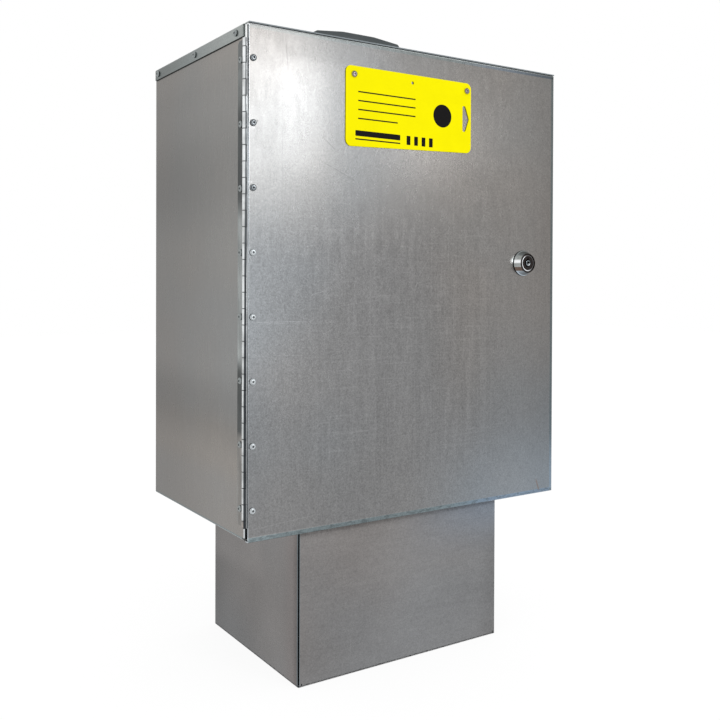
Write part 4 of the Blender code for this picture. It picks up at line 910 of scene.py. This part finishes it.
def build_rivets():
    """Every rivet, each turned and tipped a little. The highest ones of the door get a darker copy of the
    rivet look, painted shade.
    """
    bright = rivet_look("rivet_look", (0.66, 0.70, 0.72), (0.40, 0.43, 0.45), pit=(0.15, 0.163, 0.172))
    # painted shade: a darker copy of the rivet look, for the highest rivets of the door
    wear_and_shade = rivet_look("shaded_rivet_look", (0.34, 0.37, 0.39), (0.075, 0.085, 0.092))
    dull = rivet_look("cap_rivet_look", (0.33, 0.36, 0.36), (0.24, 0.26, 0.26))
    pale = rivet_look("plate_rivet_look", (0.42, 0.37, 0.40), (0.045, 0.034, 0.040), 1.3)
    rows = (
        ("hinge_door_rivet", bright, (0, -1, 0), "door"),
        ("hinge_body_rivet", dull, (-1, 0, 0), "cabinet"),
        ("roof_rivet_left", dull, (-1, 0, 0), "cabinet"),
        ("roof_rivet_right", dull, (1, 0, 0), "cabinet"),
        ("roof_rivet_back", dull, (0, 1, 0), "cabinet"),
        ("plate_rivet", pale, (0, -1, 0), "door"),
    )
    first_shaded, head_height, tilt = 5, 2.5 * MM, 0.05
    jitter = random.Random(5)
    for row, material, out, body in rows:
        members = sorted(n for n in nodes if n.startswith(row))
        low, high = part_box(members[0])
        direction = Vector(out)
        outward = direction.to_track_quat("Z", "Y").to_matrix().to_4x4()
        depth = abs((high - low).dot(direction))
        mesh = rivet_mesh(row, depth - head_height, material)
        shaded_mesh = rivet_mesh(f"{row}_worn", depth - head_height, wear_and_shade)
        for number, member in enumerate(members):
            low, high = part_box(member)
            seat = (low + high) / 2 + direction * (depth / 2 - head_height)
            tip = Matrix.Rotation(jitter.uniform(-tilt, tilt), 4, "X")
            tip @= Matrix.Rotation(jitter.uniform(-tilt, tilt), 4, "Y")
            spin = Matrix.Rotation(jitter.uniform(0, math.tau), 4, "Z")
            place = Matrix.Translation(seat) @ outward @ tip @ spin
            # the highest door rivets take the painted darker copy
            shown = shaded_mesh if row == "hinge_door_rivet" and number >= first_shaded else mesh
            piece(f"{member}_fine", shown, body, [member], place)


# ---- Lock ----
def build_collar(out):
    """The chromed guard: a cone with a rolled foot and a rounded rim round the lock's face."""
    low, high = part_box("lock_collar")
    proud = LOCK.y - low.y
    base = (high.x - low.x) / 2
    rim, well, bore, foot = 13.25 * MM, 11.8 * MM, 9.8 * MM, 0.3 * MM
    step = proud - 4.5 * MM
    profile = [
        (bore, foot),
        (base - 0.3 * MM, foot),
        (base, foot + 0.3 * MM),
        (base, foot + 0.8 * MM),
        (base - 0.25 * MM, foot + 1.1 * MM),
        (base - 1.1 * MM, foot + 1.5 * MM),
        (base - 1.5 * MM, foot + 2.0 * MM),
        (rim + 0.35 * MM, proud - 1.5 * MM),
        (rim, proud - 1.0 * MM),
        (rim - 0.3 * MM, proud - 0.95 * MM),
        (rim - 0.45 * MM, proud - 0.3 * MM),
        (rim - 0.75 * MM, proud),
        (well + 0.35 * MM, proud),
        (well + 0.08 * MM, proud - 0.25 * MM),
        (well, proud - 0.6 * MM),
        (well, step),
        (bore, step),
    ]
    mesh = solid("lock_guard", lathe(profile, 96, out), chrome_look())
    piece("lock_guard", mesh, "door", ["lock_collar"])


def build_barrel(out):
    """The dark housing, with a groove in its face and a slot above its round keyway."""
    low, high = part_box("lock_barrel")
    face, end = LOCK.y - low.y, LOCK.y - high.y
    outer, head, key, core = 9.5 * MM, 11.5 * MM, 5.4 * MM, 7.0 * MM
    seat = -1.5 * MM
    profile = [
        (key, face - 0.2 * MM),
        (key, seat),
        (core, seat),
        (core, end),
        (outer, end),
        (outer, face - 3.0 * MM),
        (head, face - 3.0 * MM),
        (head, face - 0.6 * MM),
        (head - 0.2 * MM, face - 0.15 * MM),
        (head - 0.6 * MM, face),
        (head - 1.5 * MM, face),
        (head - 1.9 * MM, face - 0.35 * MM),
        (head - 2.5 * MM, face - 0.35 * MM),
        (head - 2.9 * MM, face),
        (key + 0.2 * MM, face),
    ]
    mesh = solid("lock_housing", lathe(profile, 96, out), dark_lock_look())
    housing = piece("lock_housing", mesh, "door", ["lock_barrel"])
    middle = Matrix.Translation((LOCK.x, LOCK.y - face, LOCK.z + 6.0 * MM))
    size = Matrix.Diagonal((2.2 * MM, 3.0 * MM, 3.4 * MM, 1))
    slot = bmesh.new()
    bmesh.ops.create_cube(slot, size=1, matrix=middle @ size)
    cut(housing, "key_slot", slot)


def build_plug(out):
    """The turning core: a hollow key post in front of a shouldered stem."""
    low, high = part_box("lock_plug")
    tip, end = LOCK.y - low.y, LOCK.y - high.y
    post, hole, core, stem = 4.1 * MM, 1.5 * MM, 6.7 * MM, 4.0 * MM
    shoulder, heel = -1.8 * MM, -10.0 * MM
    profile = [
        (0, tip - 5.0 * MM),
        (hole, tip - 5.0 * MM),
        (hole, tip - 0.5 * MM),
        (hole + 0.2 * MM, tip - 0.15 * MM),
        (hole + 0.6 * MM, tip),
        (post - 0.6 * MM, tip),
        (post - 0.15 * MM, tip - 0.2 * MM),
        (post, tip - 0.6 * MM),
        (post, shoulder),
        (core, shoulder),
        (core, heel),
        (stem, heel),
        (stem, end),
        (0, end),
    ]
    mesh = solid("lock_core_plug", lathe(profile, 64, out), turned_steel_look())
    piece("lock_core_plug", mesh, "lock_core", ["lock_plug"])


def build_lock():
    """Collar, barrel and plug, turned about the lock's axis."""
    out = Matrix.Translation(LOCK) @ UPRIGHT
    build_collar(out)
    build_barrel(out)
    build_plug(out)


# ---- Sign plate and its print ----
def build_plate():
    """The yellow plate with a hanging slot and a small wire hole between its rivets."""
    width, height = plate_high.x - plate_low.x, plate_high.z - plate_low.z
    gauge = plate_high.y - plate_low.y
    out = Matrix.Translation((plate_low.x, plate_high.y, plate_low.z)) @ UPRIGHT
    right = width - 1.4 * MM
    corners = [(0, 0.6 * MM), (right, 6.9 * MM), (right, height), (0, height)]
    shape = bmesh.new()
    prism(shape, rounded(corners, [8 * MM] * 4, 9), 0, gauge, out)
    mesh = solid("yellow_plate", shape, yellow_look())
    plate = piece("yellow_plate", mesh, "door", ["sign_plate"])

    tip, middle = width - 4.8 * MM, height / 2 + 2.0 * MM
    left, belly, half = tip - 11.0 * MM, tip - 6.2 * MM, 17 * MM
    low, high = middle - half, middle + half
    slot = [(left, low), (belly, low), (tip, middle), (belly, high), (left, high)]
    radii = [2.0 * MM, 2.6 * MM, 1.2 * MM, 2.6 * MM, 2.0 * MM]
    first, second = (sum(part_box(n), Vector()) / 2 for n in ("plate_rivet_1", "plate_rivet_2"))
    wire = (first + second) / 2 - plate_low
    openings = bmesh.new()
    behind, before = -5 * MM, 6 * MM
    prism(openings, rounded(slot, radii), behind, before, out)
    prism(openings, circle((wire.x, wire.z), 2.0 * MM, 32), behind, before, out)
    cut(plate, "plate_openings", openings)
    soften(plate, 0.15 * MM)
    build_print(out, gauge)


def build_print(out, gauge):
    """Ruled lines, bars and a disc in ink, in millimetres from the plate's lower left corner."""
    ink = bmesh.new()
    film = 0.06 * MM

    def bar(x0, y0, x1, y1, soft=0.2):
        corners = [(x * MM, y * MM) for x, y in ((x0, y0), (x1, y0), (x1, y1), (x0, y1))]
        prism(ink, rounded(corners, [soft * MM] * 4, 3), gauge, gauge + film, out)

    for row, length in enumerate((88, 88, 88, 60)):
        height = 68 - 11 * row
        bar(18, height, 18 + length, height + 1.6)
    bar(14, 14, 82, 21, 1.0)
    bar(14, 9.4, 82, 11.0)
    prism(ink, circle((150 * MM, 52 * MM), 15 * MM, 64), gauge, gauge + film, out)
    for x in (92, 104, 116, 128):
        bar(x, 9.4, x + 6, 21, 0.6)
    piece("plate_print", solid("plate_print", ink, ink_look()), "door")


# ---- Roof handle ----
def build_handle():
    """The grip with crowned faces: the CAD form's outline, swept across and softened all round."""
    low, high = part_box("roof_handle")
    half, tall, deep = (high.x - low.x) / 2, high.z - low.z, (high.y - low.y) / 2
    leg, grip, rise = 22 * MM, 17 * MM, 4.3 * MM
    outer, inner, level = 4.5 * MM, 9 * MM, 26 * MM
    outer_x = half - outer
    lean = math.atan2(rise, outer_x - level)
    crown = 60 * MM
    knee = crown * math.tan(lean / 2)
    right = [(half, 0), *arc((outer_x, tall - rise - outer), outer, 0, math.pi / 2 - lean, 12)]
    right += arc((level - knee, tall - crown), crown, math.pi / 2 - lean, lean, 4)
    left = [(-x, z) for x, z in reversed(right)]
    gap_x, gap_z = half - leg - inner, tall - grip - inner
    gap = [(leg - half, 0), *arc((-gap_x, gap_z), inner, math.pi, -math.pi / 2, 10)]
    gap += [*arc((gap_x, gap_z), inner, math.pi / 2, -math.pi / 2, 10), (half - leg, 0)]
    stand = Matrix.Translation(((low.x + high.x) / 2, (low.y + high.y) / 2, low.z)) @ UPRIGHT
    shape = bmesh.new()
    prism(shape, right + left + gap, -deep, deep, stand)
    mesh = solid("roof_grip", shape, handle_look())
    soften(piece("roof_grip", mesh, "cabinet", ["roof_handle"]), 2.0 * MM, 5, 60)


build_hinge()
build_rivets()
build_lock()
build_plate()
build_handle()


# ---- Studio ----
def backed(graph, output, share, soft, bright):
    """Shows the soft shader where the share is 0 and the bright one where it is 1."""
    shown = graph.node("MixShader", {0: share, 1: soft, 2: bright})
    graph.feed(graph.tree.nodes[output].inputs["Surface"], shown)


def seen(graph):
    """1 for the rays that look at the background: camera, glossy and transmission rays."""
    camera, glossy, clear = [
        graph.node("LightPath", {}, f"Is {kind} Ray") for kind in ("Camera", "Glossy", "Transmission")
    ]
    return graph.most(graph.most(camera, glossy), clear)


def build_world():
    """White to look at, and a little darker as a light."""
    world = bpy.data.worlds.new("studio")
    bpy.context.scene.world = world
    world.use_nodes = True
    graph = Graph(world.node_tree)
    graph.tree.nodes.remove(graph.tree.nodes["Background"])
    white = (1.0, 1.0, 1.0, 1.0)
    soft, bright = [graph.node("Background", {"Color": white, "Strength": power}) for power in (0.9, 1.0)]
    backed(graph, "World Output", seen(graph), soft, bright)


def build_floor():
    """A pale floor that glows almost like the background, but stays matt enough to show a shadow."""
    side, level, glowing = 7.0, -0.6 * MM, 0.86
    mesh = bpy.data.meshes.new("studio_floor")
    corners = [(-side, -side, level), (side, -side, level), (side, side, level), (-side, side, level)]
    mesh.from_pydata(corners, [], [(0, 1, 2, 3)])
    floor = show("studio_floor", mesh)
    material = bpy.data.materials.new("floor_look")
    material.use_nodes = True
    graph = Graph(material.node_tree)
    graph.tree.nodes.remove(graph.tree.nodes["Principled BSDF"])
    plain = graph.node("BsdfDiffuse", {"Color": (0.92, 0.92, 0.92, 1.0)})
    white = graph.node("Emission", {"Strength": 1.05})
    x, y, _ = graph.axes((0, 0, 0))
    beyond = []
    for along, low, high in ((x, plinth_low.x, plinth_high.x), (y, plinth_low.y, plinth_high.y)):
        middle, half = (low + high) / 2 / MM, (high - low) / 2 / MM
        beyond.append(graph.math("GREATER_THAN", abs(along - middle), half - 1.0))
    backed(graph, "Material Output", seen(graph) * glowing * graph.most(*beyond), plain, white)
    mesh.materials.append(material)


def build_camera():
    """At half the cabinet's height, a metre from its hinged corner."""
    data = bpy.data.cameras.new("camera")
    data.sensor_width = 36.0
    data.lens = 44.954
    data.shift_x = -0.00604
    data.shift_y = -0.09974
    data.clip_start = 0.05
    camera = show("camera", data)
    yaw, pitch, roll = 0.58207, -0.0095, 0.00351
    ahead = Vector((math.sin(yaw) * math.cos(pitch), math.cos(yaw) * math.cos(pitch), math.sin(pitch)))
    right = ahead.cross(Vector((0, 0, 1))).normalized()
    up = right.cross(ahead)
    side = right * math.cos(roll) + up * math.sin(roll)
    up = side.cross(ahead)
    place = Matrix((side, up, -ahead)).transposed().to_4x4()
    place.translation = (-0.69861, -1.07865, 0.50243)
    camera.matrix_world = place
    bpy.context.scene.camera = camera
    return place.translation


def shine_at(eye, name, across, up, width, height, power):
    """A lamp whose mirror image the camera sees in the door, across and up from its lower left corner."""
    distance = 1.7
    spot = door_low + Vector((across, 0, up))
    view = eye - spot
    mirror = Vector((-view.x, view.y, -view.z)).normalized()
    data = bpy.data.lights.new(name, "AREA")
    data.shape = "RECTANGLE"
    data.size = width
    data.size_y = height
    data.energy = power
    lamp = show(name, data)
    lamp.location = spot + mirror * distance
    lamp.rotation_euler = (-mirror).to_track_quat("-Z", "Y").to_euler()


build_world()
build_floor()
eye = build_camera()
for name, across, up, width, height, power in (
    ("key", 0.0245, 0.5517, 0.2, 0.4, 1.44),
    ("wide", -0.0175, 0.4817, 0.5, 0.5, 2.96),
    ("lower", -0.0175, 0.2517, 0.2, 0.4, 0.55),
    ("accent", 0.2425, 0.4817, 0.08, 0.08, 0.42),
):
    shine_at(eye, name, across, up, width, height, power)

bpy.context.scene.view_settings.view_transform = "Standard"
